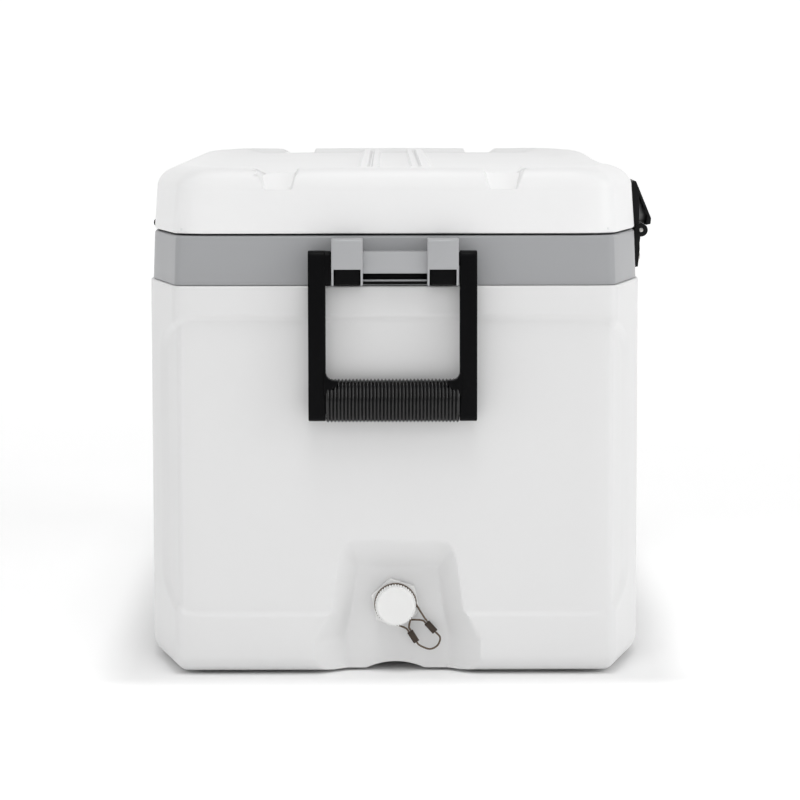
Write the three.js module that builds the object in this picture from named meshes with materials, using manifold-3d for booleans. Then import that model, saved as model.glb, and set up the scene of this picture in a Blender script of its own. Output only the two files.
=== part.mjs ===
// An insulated cooler chest with a hinged lid, two latches, two bail handles and a capped drain.
// Millimetres, +Z up. X runs along the chest, the latches are on the -Y side and the lid hinges on +Y.
// The origin is the middle of the underside.
import * as THREE from "three";
import { mergeVertices } from "three/addons/utils/BufferGeometryUtils.js";
import Module from "manifold-3d";

const wasm = await Module();
wasm.setup();

// ---------------------------------------------------------------- driving dimensions

const bodyLength = 710;
const bodyWidth = 410;
const overallHeight = 414;
const lidHeight = 53;
const lidGap = 1.5; // between the collar and the lid
const collarHeight = 40.5;
const fit = 0.3; // the gap between pieces that touch
const endless = 60; // how far a cutting shape runs past what it cuts

// The heights that the rest is placed from.
const lidLow = overallHeight - lidHeight;
const collarTop = lidLow - lidGap;
const shellTop = collarTop - collarHeight;

// The plan of the chest: flat ends, a round corner, a slanted facet and a soft bend into the long side.
const cornerRadius = 14;
const facetAngle = THREE.MathUtils.degToRad(14.7);
const facetLength = 77;
const bendRadius = 120;
const cornerSteps = 4;
const bendSteps = 2;

// The white tub.
const shellWall = 7.5;
const shellFloor = 5;
const baseRoundSide = 16;
const baseRoundEnd = 14;
const hollowStraight = 24; // height above which the walls of the hollow are straight
const baseRoundSteps = 5;
const shellEdge = 1.6;
const panelDepth = 3.5;
const panelWall = shellWall - panelDepth;
const panelLow = 48;
const panelHigh = shellTop - 27;
const panelSlope = 6; // how far the lower edge of a panel slopes over its depth
const panelRound = 32;
const endPanelWidth = bodyWidth - 26;
const sidePanelInset = 130; // from the end of the body to the side panel
// The hollow of the tub near its floor: the height above the floor, and how far it stands in there
// at the ends and at the sides.
const hollowFoot = [
  { height: 0, end: 8, side: 13 },
  { height: 8, end: 1, side: 4 },
];

// The inside.
const linerWall = 2.5;
const linerInset = 37.5; // from the outside of the body to the inside of the chest
const linerFloor = 34; // height of the inner floor's top face
const linerDraft = 4;
const linerRound = 5;
const linerCorner = 24;
const linerBend = 70;
const linerFlange = 9;
const linerFacet = 20;

// The grey collar round the top of the tub.
const collarPlate = 3;
const collarSkirt = 4;
const collarInsetLow = 2.2;
const collarInsetHigh = 3.6;
const collarEdge = 1.8;

// The lid.
const lidWall = 3.5;
const lidInsetLow = 3.5;
const lidInsetHigh = 6;
const lidShoulder = 18; // height of the rounded top edge
const lidRoundSide = 18;
const lidRoundEnd = 13;
const lidRoundSteps = 4;
const dishInset = 40;
const dishDepth = 4.5;
const dishCorner = 12;
const dishBend = 60;
const hollowTurn = 6; // how far below the shoulder the hollow of the lid turns in
const lidLinerWall = 2.5;
const gasketHeight = 3.1;
const gasketWidth = 8;
const gasketInset = 7; // from the edge of the mouth to the gasket
const plugDepth = 9.5; // how far the underside of the lid reaches into the mouth
const plugClearance = 3.5;
const ribs = [
  { inner: 21.3, outer: 31.6 },
  { inner: 13.2, outer: 19.4 },
];
const ribDrop = 0.5; // how far the ribs stay below the rim
const notchAcross = [94.5, -87.5]; // centres of the two notches in each end of the rim
const notchTopWidth = 31;
const notchFootWidth = 21;
const notchDrop = 17.5;
const notchDepth = 8;
const dipLength = 380;
const dipDepth = 2.8;
const dipSlope = 30;

// The handles.
const pivotOut = 10; // from the end of the body out to the pivot axis
const pivotHeight = collarTop - 18;
const bailWidth = 136;
const bailShift = 2; // side play, all taken up to one side
const armWidth = 14;
const armThickness = 12;
const armAbove = 6.7;
const bailDrop = 131;
const trunnionRadius = 5.5;
const gripHeight = 35;
const gripDepth = 18;
const gripCoreHeight = 20;
const gripCoreDepth = 9;
const gripBelow = 1.2; // how far the grip hangs below the ends of the arms
const gripEdge = 3;
const gripSteps = 10;
const bracketOuter = bailWidth / 2 - armWidth - bailShift - 0.9;
const bracketInner = bracketOuter - 25.2;
const bracketTop = collarTop - 1.5;
const bracketBottom = shellTop + 1;
const bracketFaceLow = bracketBottom + 13.4;
const bracketProud = 19; // how far the blocks stand out from the end of the body
const bracketWall = 2.5;
const bridgeLow = bracketBottom + 10;
const bridgeHigh = bracketBottom + 27.5;
const bridgeSetBack = 4;
const lipHeight = bracketBottom + 3;
const lipThickness = 1.5;
const lipDepth = 5;

// The latches.
const latchOffset = 177;
const latchWidth = 90;
const latchKnuckle = 5.6;
const latchClearance = 0.9; // from the knuckles to the collar
const latchPivotOut = latchKnuckle + latchClearance - collarInsetLow;
const latchPivotHeight = lidLow - 3.8;
const latchPin = 1.8;
const latchEar = 14; // width of each knuckle of the fixed leaf
const latchScrewOffset = 27;
const leafLow = shellTop + 6.5;
const leafHigh = shellTop + 32;
const leafThickness = 5;
const leverTop = lidLow + 38;

// The hinges.
const hingeOffset = 105;
const hingeWidth = 60;
const hingeThickness = 2.5;
const hingeReach = 34;
const hingeKnuckle = 4.4;
const hingePin = 1.8;
const hingeEar = 18;
const hingeClearance = 4; // from the pin to the plate of a leaf

// Screws.
const screwHead = 3.6;
const screwHeadHeight = 1.4;
const screwShank = 1.7;
const screwSides = 8;
const screwHoleLength = 24;

// The drain.
const pocketBack = 24; // from the end of the body in to the back of the drain pocket
const pocketRound = 8;
const pocketShoulder = 49.5; // height where the sides of the pocket start to spread
const pocketSkirt = 29; // height where they stop spreading
// Half widths of the pocket at the skirt, the shoulder and the top, and its height, at its back
// and in the plane of the panel.
const pocketShape = {
  back: { skirt: 42, shoulder: 38, half: 33, top: 86 },
  front: { skirt: 64, shoulder: 54.5, half: 46, top: 110.5 },
};
const archHalf = 23.5;
const archHeight = 7.6;
const archReach = 60;
const spoutRadius = 12.5;
const spoutBore = spoutRadius - 3.5;
const flangeCorner = spoutRadius + 8.5;
const flangeThickness = 4;
const flangeTurn = THREE.MathUtils.degToRad(48);
const washerThickness = 1.5;
const washerRadius = spoutRadius + 5.5;
const neckLength = 4.3;
const capRadius = spoutRadius + 4.3;
const capLength = 11.5;
const capTop = 1.9;
const sealThickness = 1.5;
const nutCorner = spoutRadius + 4.5;
const nutAboveRound = 0.7; // from the round edge of the inner floor up to the nut
const nutThickness = 5;
const spoutPast = 2; // how far the spout shows past its nut
const drainHeight = linerFloor + linerRound + nutAboveRound + nutCorner;

// The wire tether of the cap.
const wireRadius = 0.8;
const wireSides = 8;
const ferruleLength = 10.4;
const ferruleWidth = 5.2;
const ferruleThickness = 3.4;
const loopWrap = 0.62 * Math.PI; // half of the angle that a loop wraps round the neck
const loopSteps = 10;

// ---------------------------------------------------------------- places worked out from them

const halfLength = bodyLength / 2;
const halfWidth = bodyWidth / 2;
const endX = -halfLength; // the end that has the drain
const collarPlateLow = collarTop - collarPlate;
const linerTop = collarPlateLow - fit;
const lidShoulderLow = overallHeight - lidShoulder;
const dishFloor = overallHeight - dishDepth;
const lidCeiling = dishFloor - lidWall;
const gasketTop = collarTop + fit + gasketHeight;
const lidPlateLow = gasketTop + fit;
const lidPlateHigh = lidPlateLow + lidLinerWall;
const plugLow = collarTop - plugDepth;
const pivotX = endX - pivotOut;
const latchPivotY = -halfWidth - latchPivotOut;
const hingeY = halfWidth - collarInsetHigh + fit + hingeKnuckle;
const hingeZ = (collarTop + lidLow) / 2;
const pocketBackX = endX + pocketBack;
const washerX = pocketBackX - fit;
const flangeX = washerX - washerThickness - fit;
const neckX = flangeX - flangeThickness;
const capX = neckX - neckLength;
const frontOfCollar = -halfWidth + collarInsetLow;
const latchScrewSpots = [-1, 1].map((side) => side * latchScrewOffset);
const latchScrewHeight = leafLow + 9;
const hingeScrewSpots = [-1, 1].map((side) => side * (hingeWidth / 2 - 12));
const hingeScrewDrop = hingeReach - 10;
const bodyLean = Math.atan2(collarInsetHigh - collarInsetLow, collarTop - collarEdge - shellTop);
const lidLean = Math.atan2(lidInsetHigh - lidInsetLow, lidShoulderLow - lidLow);
const sides = [
  { side: "left", sign: -1 },
  { side: "right", sign: 1 },
];
const spoutEndX = capX - capLength + capTop + sealThickness + 2 * fit;

// ---------------------------------------------------------------- making solids

function solid(geometry) {
  const plain = geometry.clone();
  plain.deleteAttribute("normal");
  plain.deleteAttribute("uv");
  const merged = mergeVertices(plain, 1e-4);
  return new wasm.Manifold(
    new wasm.Mesh({
      numProp: 3,
      vertProperties: merged.getAttribute("position").array,
      triVerts: new Uint32Array(merged.index.array),
    }),
  );
}

function geometryOf(shape) {
  const result = shape.getMesh();
  const geometry = new THREE.BufferGeometry();
  geometry.setAttribute("position", new THREE.BufferAttribute(result.vertProperties, 3));
  geometry.setIndex(new THREE.BufferAttribute(result.triVerts, 1));
  return geometry;
}

const join = (first, ...others) => others.reduce((sum, other) => sum.add(other), first);
const cut = (first, ...tools) => tools.reduce((rest, tool) => rest.subtract(tool), first);

// A closed skin through flat outlines with equal numbers of points, each given counter-clockwise
// as seen from the last outline.
function loft(outlines) {
  const count = outlines[0].length;
  const positions = outlines.flat(2);
  const index = [];
  for (let level = 0; level < outlines.length - 1; level++) {
    for (let i = 0; i < count; i++) {
      const here = level * count + i;
      const next = level * count + ((i + 1) % count);
      index.push(here, next, next + count);
      index.push(here, next + count, here + count);
    }
  }
  const last = (outlines.length - 1) * count;
  for (let i = 1; i < count - 1; i++) {
    index.push(0, i + 1, i);
    index.push(last, last + i, last + i + 1);
  }
  const geometry = new THREE.BufferGeometry();
  geometry.setAttribute("position", new THREE.Float32BufferAttribute(positions, 3));
  geometry.setIndex(index);
  return solid(geometry);
}

const atHeight = (plan, z) => plan.map(([x, y]) => [x, y, z]);

// The same outline from one height to another.
const slab = (plan, low, high) => loft([atHeight(plan, low), atHeight(plan, high)]);

function box(low, high) {
  const size = low.map((value, axis) => high[axis] - value);
  const geometry = new THREE.BoxGeometry(...size);
  geometry.translate(...low.map((value, axis) => (value + high[axis]) / 2));
  return solid(geometry);
}

// A round or polygonal bar along X.
function barAlongX(radius, fromX, toX, y, z, sides = 24, turn = 0) {
  const geometry = new THREE.CylinderGeometry(radius, radius, Math.abs(toX - fromX), sides);
  geometry.rotateY(turn);
  geometry.rotateZ(Math.PI / 2);
  geometry.translate((fromX + toX) / 2, y, z);
  return solid(geometry);
}

// A round bar along Y.
function barAlongY(radius, fromY, toY, x, z, sides = 16) {
  const geometry = new THREE.CylinderGeometry(radius, radius, Math.abs(toY - fromY), sides);
  geometry.translate(x, (fromY + toY) / 2, z);
  return solid(geometry);
}

// A flat outline given as [y, z] points, pushed along X.
function profileAlongX(points, fromX, toX) {
  const shape = new THREE.Shape(points.map(([y, z]) => new THREE.Vector2(y, z)));
  const geometry = new THREE.ExtrudeGeometry(shape, { depth: toX - fromX, bevelEnabled: false });
  // The shape is drawn in XY and pushed along Z; this turns X to Y, Y to Z and Z to X.
  geometry.applyMatrix4(new THREE.Matrix4().set(0, 0, 1, fromX, 1, 0, 0, 0, 0, 1, 0, 0, 0, 0, 0, 1));
  return solid(geometry);
}

// A flat outline given as [x, z] points, pushed along Y.
function profileAlongY(points, fromY, toY) {
  const shape = new THREE.Shape(points.map(([x, z]) => new THREE.Vector2(x, z)));
  const geometry = new THREE.ExtrudeGeometry(shape, { depth: toY - fromY, bevelEnabled: false });
  geometry.rotateX(Math.PI / 2);
  geometry.translate(0, toY, 0);
  return solid(geometry);
}

// A solid turned and moved as a group with this matrix would be.
function placed(shape, matrix) {
  const geometry = geometryOf(shape);
  geometry.applyMatrix4(matrix);
  if (matrix.determinant() < 0) geometry.index.array.reverse();
  return solid(geometry);
}

const moved = (shape, x, y, z) => placed(shape, new THREE.Matrix4().makeTranslation(x, y, z));

// ---------------------------------------------------------------- where latches and hinges sit

const latchPlace = (sign) => new THREE.Matrix4().makeTranslation(sign * latchOffset, 0, 0);

// A hinge leaf leans with the face that it is screwed to, and the lid's leaf is turned upside down.
function hingePlace(sign, lean, upright) {
  return new THREE.Matrix4().compose(
    new THREE.Vector3(sign * hingeOffset, hingeY, hingeZ),
    new THREE.Quaternion().setFromEuler(new THREE.Euler(lean, 0, 0)),
    new THREE.Vector3(1, 1, upright),
  );
}

// ---------------------------------------------------------------- the plan of the chest

// A counter-clockwise plan: a quarter from the flat end to the long side, and its three mirror images.
function plan(lengthwise, crosswise, corner, bend, facet = facetLength) {
  const turn = Math.PI / 2 - facetAngle;
  const flat =
    crosswise - corner * Math.cos(facetAngle) - facet * Math.sin(facetAngle) - bend * (1 - Math.cos(facetAngle));
  const bendStart = lengthwise - corner * (1 - Math.cos(turn)) - facet * Math.cos(facetAngle);
  const quarter = [];
  for (let i = 0; i <= cornerSteps; i++) {
    const angle = (turn * i) / cornerSteps;
    quarter.push([lengthwise - corner * (1 - Math.cos(angle)), flat + corner * Math.sin(angle)]);
  }
  for (let i = 0; i <= bendSteps; i++) {
    const angle = turn + (facetAngle * i) / bendSteps;
    quarter.push([
      bendStart - bend * (Math.cos(turn) - Math.cos(angle)),
      crosswise - bend * (1 - Math.sin(angle)),
    ]);
  }
  const back = quarter.slice().reverse();
  return [
    ...quarter,
    ...back.map(([x, y]) => [-x, y]),
    ...quarter.map(([x, y]) => [-x, -y]),
    ...back.map(([x, y]) => [x, -y]),
  ];
}

// The outside plan of the body, moved in by one amount at the ends and another at the long sides.
function bodyPlan(insetEnd, insetSide = insetEnd) {
  const corner = Math.max(cornerRadius - (insetEnd + insetSide) / 2, 2);
  return plan(halfLength - insetEnd, halfWidth - insetSide, corner, bendRadius - insetSide);
}

// The inside plan of the chest, moved in by an amount, or out where the amount is negative.
function mouthPlan(inset) {
  return plan(
    halfLength - linerInset - inset,
    halfWidth - linerInset - inset,
    linerCorner - inset,
    linerBend - inset,
    linerFacet,
  );
}

// How far a round edge of this radius stands back at this height above its foot.
function roundInset(radius, height) {
  const left = Math.max(radius - height, 0);
  return radius - Math.sqrt(radius * radius - left * left);
}

// ---------------------------------------------------------------- the white tub

// A rounded rectangle of [across, up] points, counter-clockwise.
function roundedRectangle(half, low, high, radius, steps = 4) {
  const points = [];
  const corners = [
    [half - radius, high - radius, 0],
    [-half + radius, high - radius, Math.PI / 2],
    [-half + radius, low + radius, Math.PI],
    [half - radius, low + radius, 1.5 * Math.PI],
  ];
  for (const [across, up, start] of corners) {
    for (let i = 0; i <= steps; i++) {
      const angle = start + (i * Math.PI) / 2 / steps;
      points.push([across + radius * Math.cos(angle), up + radius * Math.sin(angle)]);
    }
  }
  return points;
}

// What a sunken panel takes away, for an end (axis 0) or a long side (axis 1) of the tub.
function panelZone(axis, side) {
  const outside = axis === 0 ? halfLength : halfWidth;
  const half = axis === 0 ? endPanelWidth / 2 : halfLength - sidePanelInset;
  const reach = axis === 0 ? 90 : 20;
  const layers = [
    { out: outside - reach, half: half - 2, low: panelLow + panelSlope, high: panelHigh - 1 },
    { out: outside - panelDepth, half: half - 1, low: panelLow + panelSlope, high: panelHigh - 1 },
    { out: outside + panelDepth, half: half + 2, low: panelLow - panelSlope, high: panelHigh + 1 },
  ];
  const outlines = layers.map(({ out, half: wide, low, high }) =>
    roundedRectangle(wide, low, high, panelRound).map(([across, up]) =>
      axis === 0 ? [side * out, side * across, up] : [-side * across, side * out, up],
    ),
  );
  return loft(outlines);
}

// The drain pocket, grown by a wall where the inside of the shell keeps clear of it.
function drainPocket(grow) {
  const { back, front } = pocketShape;
  const outline = (share, x) => {
    const [skirt, shoulder, half, top] = ["skirt", "shoulder", "half", "top"].map(
      (key) => back[key] + (front[key] - back[key]) * share + grow,
    );
    const right = [
      [skirt, -endless],
      [skirt, pocketSkirt],
      [shoulder, pocketShoulder],
      [half, top - pocketRound],
      [half - pocketRound, top],
    ];
    const left = right.map(([across, up]) => [-across, up]).reverse();
    // The outline runs clockwise in [y, z] as seen from outside, so the loft goes from out to in.
    return [...right, ...left].map(([across, up]) => [x, across, up]);
  };
  const span = pocketBack - panelDepth;
  const past = panelDepth + 5;
  return loft([outline(1 + past / span, endX - 5), outline(0, pocketBackX + grow)]);
}

// The drip channel under the pocket: the top of a wide round bar along X.
function drainArch(grow) {
  const radius = (archHalf * archHalf + archHeight * archHeight) / (2 * archHeight);
  return barAlongX(radius + grow, endX - 5, pocketBackX + archReach + grow, 0, archHeight - radius, 48);
}

const drainBore = () => barAlongX(spoutRadius + fit, pocketBackX - 5, endX + linerInset + 20, 0, drainHeight);

function outerShell() {
  const rings = [];
  for (let i = 0; i <= baseRoundSteps; i++) {
    const height = baseRoundSide * (1 - Math.cos((i * Math.PI) / 2 / baseRoundSteps));
    rings.push(
      atHeight(bodyPlan(roundInset(baseRoundEnd, height), roundInset(baseRoundSide, height)), height),
    );
  }
  rings.push(atHeight(bodyPlan(0), shellTop - shellEdge));
  rings.push(atHeight(bodyPlan(shellEdge), shellTop));
  const core = slab(bodyPlan(panelDepth), -endless, shellTop + endless);
  const panels = [
    [0, 1],
    [0, -1],
    [1, 1],
    [1, -1],
  ].map(([axis, side]) => cut(panelZone(axis, side), core));
  return cut(
    loft(rings),
    ...panels,
    drainPocket(0),
    drainArch(0),
    cut(shellCavity(0), drainPocket(panelWall), drainArch(panelWall)),
    drainBore(),
  );
}

// The space inside the shell's walls, shrunk by a gap for what fills it.
function shellCavity(gap) {
  const wall = shellWall + gap;
  return loft([
    ...hollowFoot.map(({ height, end, side }) =>
      atHeight(bodyPlan(wall + end, wall + side), shellFloor + height + gap),
    ),
    atHeight(bodyPlan(wall), hollowStraight + gap),
    atHeight(bodyPlan(wall), shellTop + endless),
  ]);
}

// ---------------------------------------------------------------- the inner liner and the foam

// The liner's inside (offset 0) or outside (offset linerWall), up to a height.
function linerBlock(offset, top) {
  return loft([
    atHeight(mouthPlan(linerDraft + linerRound - offset), linerFloor - offset),
    atHeight(mouthPlan(linerDraft - offset), linerFloor + linerRound - offset),
    atHeight(mouthPlan(-offset), top),
  ]);
}

function innerLiner() {
  const flange = slab(mouthPlan(-linerWall - linerFlange), linerTop - linerWall, linerTop);
  return cut(join(linerBlock(linerWall, linerTop), flange), linerBlock(0, linerTop + 1), drainBore());
}

function bodyFoam() {
  const top = linerTop - linerWall - fit;
  const above = slab(bodyPlan(-10), top, top + 2 * endless);
  return cut(
    shellCavity(fit),
    above,
    linerBlock(linerWall + fit, top + 1),
    drainPocket(panelWall + fit),
    drainArch(panelWall + fit),
    drainBore(),
  );
}

// ---------------------------------------------------------------- the grey collar

function rimCollar() {
  const foot = shellTop + fit;
  const outside = loft([
    atHeight(bodyPlan(collarInsetLow), foot),
    atHeight(bodyPlan(collarInsetHigh), collarTop - collarEdge),
    atHeight(bodyPlan(collarInsetHigh + collarEdge), collarTop),
  ]);
  const hollow = slab(bodyPlan(collarInsetLow + collarSkirt), foot - 1, collarPlateLow);
  const mouth = slab(mouthPlan(0), foot - 1, collarTop + 1);
  const holes = sides.flatMap(({ sign }) => [
    ...latchScrewSpots.map((x) => placed(moved(screwHole(), x, frontOfCollar, latchScrewHeight), latchPlace(sign))),
    ...hingeScrewSpots.map((x) => placed(moved(screwHole(), x, 0, -hingeScrewDrop), hingePlace(sign, bodyLean, 1))),
  ]);
  return cut(outside, hollow, mouth, ...holes);
}

// ---------------------------------------------------------------- the lid

function lidOutside() {
  const rings = [atHeight(bodyPlan(lidInsetLow), lidLow), atHeight(bodyPlan(lidInsetHigh), lidShoulderLow)];
  for (let i = 1; i <= lidRoundSteps; i++) {
    const angle = (i * Math.PI) / 2 / lidRoundSteps;
    const back = 1 - Math.cos(angle);
    rings.push(
      atHeight(
        bodyPlan(lidInsetHigh + lidRoundEnd * back, lidInsetHigh + lidRoundSide * back),
        lidShoulderLow + lidShoulder * Math.sin(angle),
      ),
    );
  }
  return loft(rings);
}

// The sides of the lid lean in from its lower edge to its shoulder.
const lidInset = (z) => lidInsetLow + ((z - lidLow) / (lidShoulderLow - lidLow)) * (lidInsetHigh - lidInsetLow);

// The space inside the lid, down to a height, shrunk by a gap.
function lidCavity(gap, low) {
  const wall = lidWall + gap;
  return cut(
    loft([
      atHeight(bodyPlan(lidInset(low) + wall), low),
      atHeight(bodyPlan(lidInset(lidShoulderLow) + wall), lidShoulderLow - hollowTurn),
      atHeight(bodyPlan(lidInsetHigh + wall + lidRoundEnd, lidInsetHigh + wall + lidRoundSide), lidCeiling - gap),
    ]),
    ...lidNotches(wall),
  );
}

// The four drain notches: a tapered slot down the end face and a shallow one through the rim.
function lidNotches(grow) {
  const notches = [];
  for (const end of [-1, 1]) {
    for (const across of notchAcross) {
      const foot = overallHeight - notchDrop - grow;
      const half = notchFootWidth / 2 + grow;
      const slope = (notchTopWidth - notchFootWidth) / 2 / notchDrop;
      const wide = half + slope * (notchDrop + grow + 5);
      const slot = [
        [across - half, foot],
        [across + half, foot],
        [across + wide, overallHeight + 5],
        [across - wide, overallHeight + 5],
      ];
      const inner = halfLength - lidInsetHigh - notchDepth - grow;
      const fromX = end > 0 ? inner : -halfLength - 5;
      notches.push(profileAlongX(slot, fromX, fromX + halfLength + 5 - inner));
      const [from, to] = [end * (inner - dishInset), end * (inner + 1)].sort((a, b) => a - b);
      notches.push(
        box(
          [from, across - notchTopWidth / 2, dishFloor - grow],
          [to, across + notchTopWidth / 2, overallHeight + 5],
        ),
      );
    }
  }
  return notches;
}

function lidShell() {
  const dish = slab(
    plan(halfLength - dishInset, halfWidth - dishInset, dishCorner, dishBend),
    dishFloor,
    overallHeight + 5,
  );
  const rim = halfLength - dishInset + 2;
  const bars = ribs.flatMap(({ inner, outer }) =>
    [-1, 1].map((side) => {
      const edges = [side * inner, side * outer].sort((a, b) => a - b);
      return box([-rim, edges[0], dishFloor - 1], [rim, edges[1], overallHeight - ribDrop]);
    }),
  );
  const dip = profileAlongY(
    [
      [-dipLength / 2, overallHeight - dipDepth],
      [dipLength / 2, overallHeight - dipDepth],
      [dipLength / 2 + dipSlope, overallHeight + 1],
      [-dipLength / 2 - dipSlope, overallHeight + 1],
    ],
    -halfWidth - 5,
    -halfWidth + dishInset + 2,
  );
  const skin = cut(lidOutside(), dish, ...lidNotches(0), dip);
  const holes = sides.flatMap(({ sign }) =>
    hingeScrewSpots.map((x) => placed(moved(screwHole(), x, 0, -hingeScrewDrop), hingePlace(sign, lidLean, -1))),
  );
  return cut(join(skin, ...bars), lidCavity(0, lidLow - 1), ...holes);
}

function lidLiner() {
  const plate = slab(bodyPlan(lidInset(lidPlateHigh) + lidWall + fit), lidPlateLow, lidPlateHigh);
  const plug = slab(mouthPlan(plugClearance), plugLow, lidPlateHigh);
  const hollow = slab(mouthPlan(plugClearance + lidLinerWall), plugLow + lidLinerWall, lidPlateHigh + 1);
  return cut(join(plate, plug), hollow);
}

function lidFoam() {
  const low = lidPlateHigh + fit;
  const inset = plugClearance + lidLinerWall + fit;
  const plug = slab(mouthPlan(inset), plugLow + lidLinerWall + fit, low + 1);
  return join(lidCavity(fit, low), plug);
}

function lidGasket() {
  const low = collarTop + fit;
  const outside = slab(mouthPlan(-gasketInset - gasketWidth), low, gasketTop);
  return cut(outside, slab(mouthPlan(-gasketInset), low - 1, gasketTop + 1));
}

// ---------------------------------------------------------------- the handles, made for the drain end

function handleBracket() {
  const back = endX + collarInsetLow - fit;
  const front = endX - bracketProud;
  const blocks = [-1, 1].map((side) => {
    const [low, high] = [side * bracketInner, side * bracketOuter].sort((a, b) => a - b);
    const outline = [
      [front, bracketFaceLow],
      [front + 3, bracketBottom],
      [back, bracketBottom],
      [back, bracketTop],
      [front + 4, bracketTop],
      [front, bracketTop - 2],
    ];
    const hollow = box(
      [front + bracketWall, low + bracketWall, bracketBottom - 1],
      [back + 1, high - bracketWall, bracketTop - bracketWall],
    );
    const face = box(
      [front - 1, low + bracketWall, bracketBottom - 1],
      [front + bracketWall + 1, high - bracketWall, bracketFaceLow],
    );
    const bore = barAlongY(
      trunnionRadius + fit,
      side * (bracketOuter - bracketWall - 1),
      side * (bracketOuter + 1),
      pivotX,
      pivotHeight,
    );
    return cut(profileAlongY(outline, low, high), hollow, face, bore);
  });
  const barFront = front + bridgeSetBack;
  const bar = box([barFront, -bracketInner - 1, bridgeLow], [barFront + bracketWall, bracketInner + 1, bridgeHigh]);
  const roof = box([barFront, -bracketInner - 1, bridgeHigh - bracketWall], [back, bracketInner + 1, bridgeHigh]);
  const lip = box([back - lipDepth, -bracketInner - 1, lipHeight], [back, bracketInner + 1, lipHeight + lipThickness]);
  return join(...blocks, bar, roof, lip);
}

// The two black bearing blocks, one inside each side of the bracket.
function handleBearings() {
  const back = endX + collarInsetLow - 2 * fit;
  const front = endX - bracketProud + bracketWall + fit;
  const top = bracketTop - bracketWall - fit;
  return [-1, 1].map((side) => {
    const edges = [side * (bracketInner + bracketWall + fit), side * (bracketOuter - bracketWall - fit)];
    const [low, high] = edges.sort((a, b) => a - b);
    const bore = barAlongY(
      trunnionRadius + fit,
      side * (bracketInner + bracketWall + 1),
      side * (bracketOuter + 1),
      pivotX,
      pivotHeight,
    );
    return cut(box([front, low, bracketBottom + 1], [back, high, top]), bore);
  });
}

function bail() {
  const outer = bailWidth / 2;
  const inner = outer - armWidth;
  const half = armThickness / 2;
  const low = pivotHeight - bailDrop;
  const arms = [-1, 1].map((side) => {
    const [from, to] = [side * inner, side * outer].sort((a, b) => a - b);
    const arm = box([pivotX - half, from, low], [pivotX + half, to, pivotHeight + armAbove]);
    const tip = side * (bracketInner + bracketWall + 3) - bailShift;
    return join(arm, barAlongY(trunnionRadius, side * (inner + 1), tip, pivotX, pivotHeight));
  });
  const middle = low + gripHeight / 2 - gripBelow;
  const core = box(
    [pivotX - gripCoreDepth / 2, -inner - 1, middle - gripCoreHeight / 2],
    [pivotX + gripCoreDepth / 2, inner + 1, middle + gripCoreHeight / 2],
  );
  return moved(join(...arms, core), 0, bailShift, 0);
}

function gripSleeve() {
  const half = bailWidth / 2 - armWidth - fit;
  const middle = pivotHeight - bailDrop + gripHeight / 2 - gripBelow;
  const high = gripHeight / 2;
  const deep = gripDepth / 2;
  const outline = [];
  for (let i = 0; i <= gripSteps; i++) {
    const angle = Math.PI / 2 + (i * Math.PI) / gripSteps;
    outline.push([pivotX + 1 + (deep + 1) * Math.cos(angle), middle + high * Math.sin(angle)]);
  }
  outline.push([pivotX + deep - gripEdge, middle - high]);
  outline.push([pivotX + deep, middle - high + gripEdge]);
  outline.push([pivotX + deep, middle + high - gripEdge]);
  outline.push([pivotX + deep - gripEdge, middle + high]);
  const core = box(
    [pivotX - gripCoreDepth / 2 - fit, -half - 1, middle - gripCoreHeight / 2 - fit],
    [pivotX + gripCoreDepth / 2 + fit, half + 1, middle + gripCoreHeight / 2 + fit],
  );
  return moved(cut(profileAlongY(outline, -half, half), core), 0, bailShift, 0);
}

// ---------------------------------------------------------------- the latches, made about x = 0

function latchLeaf() {
  const inner = frontOfCollar - fit;
  const outer = inner - leafThickness;
  const half = latchWidth / 2;
  const plate = profileAlongX(
    [
      [inner, leafLow],
      [inner, leafHigh + 3],
      [outer, leafHigh],
      [outer - 0.3, leafHigh - 10],
      [outer + 1.2, leafLow + 0.5],
    ],
    -half + 3,
    half - 3,
  );
  const ears = [-half, half - latchEar].map((from) =>
    join(
      barAlongX(latchKnuckle, from, from + latchEar, latchPivotY, latchPivotHeight, 20),
      profileAlongX(
        [
          [inner, leafHigh - 8],
          [inner, latchPivotHeight],
          [latchPivotY, latchPivotHeight],
          [outer, leafHigh - 4],
        ],
        from,
        from + latchEar,
      ),
    ),
  );
  const web = box(
    [-half + latchEar + fit, outer - 2, latchPivotHeight - latchKnuckle - fit],
    [half - latchEar - fit, inner + 1, latchPivotHeight + latchKnuckle],
  );
  const bore = barAlongX(latchPin + fit, -half - 1, half + 1, latchPivotY, latchPivotHeight, 12);
  const holes = latchScrewSpots.map((x) => moved(screwHole(), x, frontOfCollar, latchScrewHeight));
  return cut(join(cut(plate, web), ...ears), bore, ...holes);
}

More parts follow.
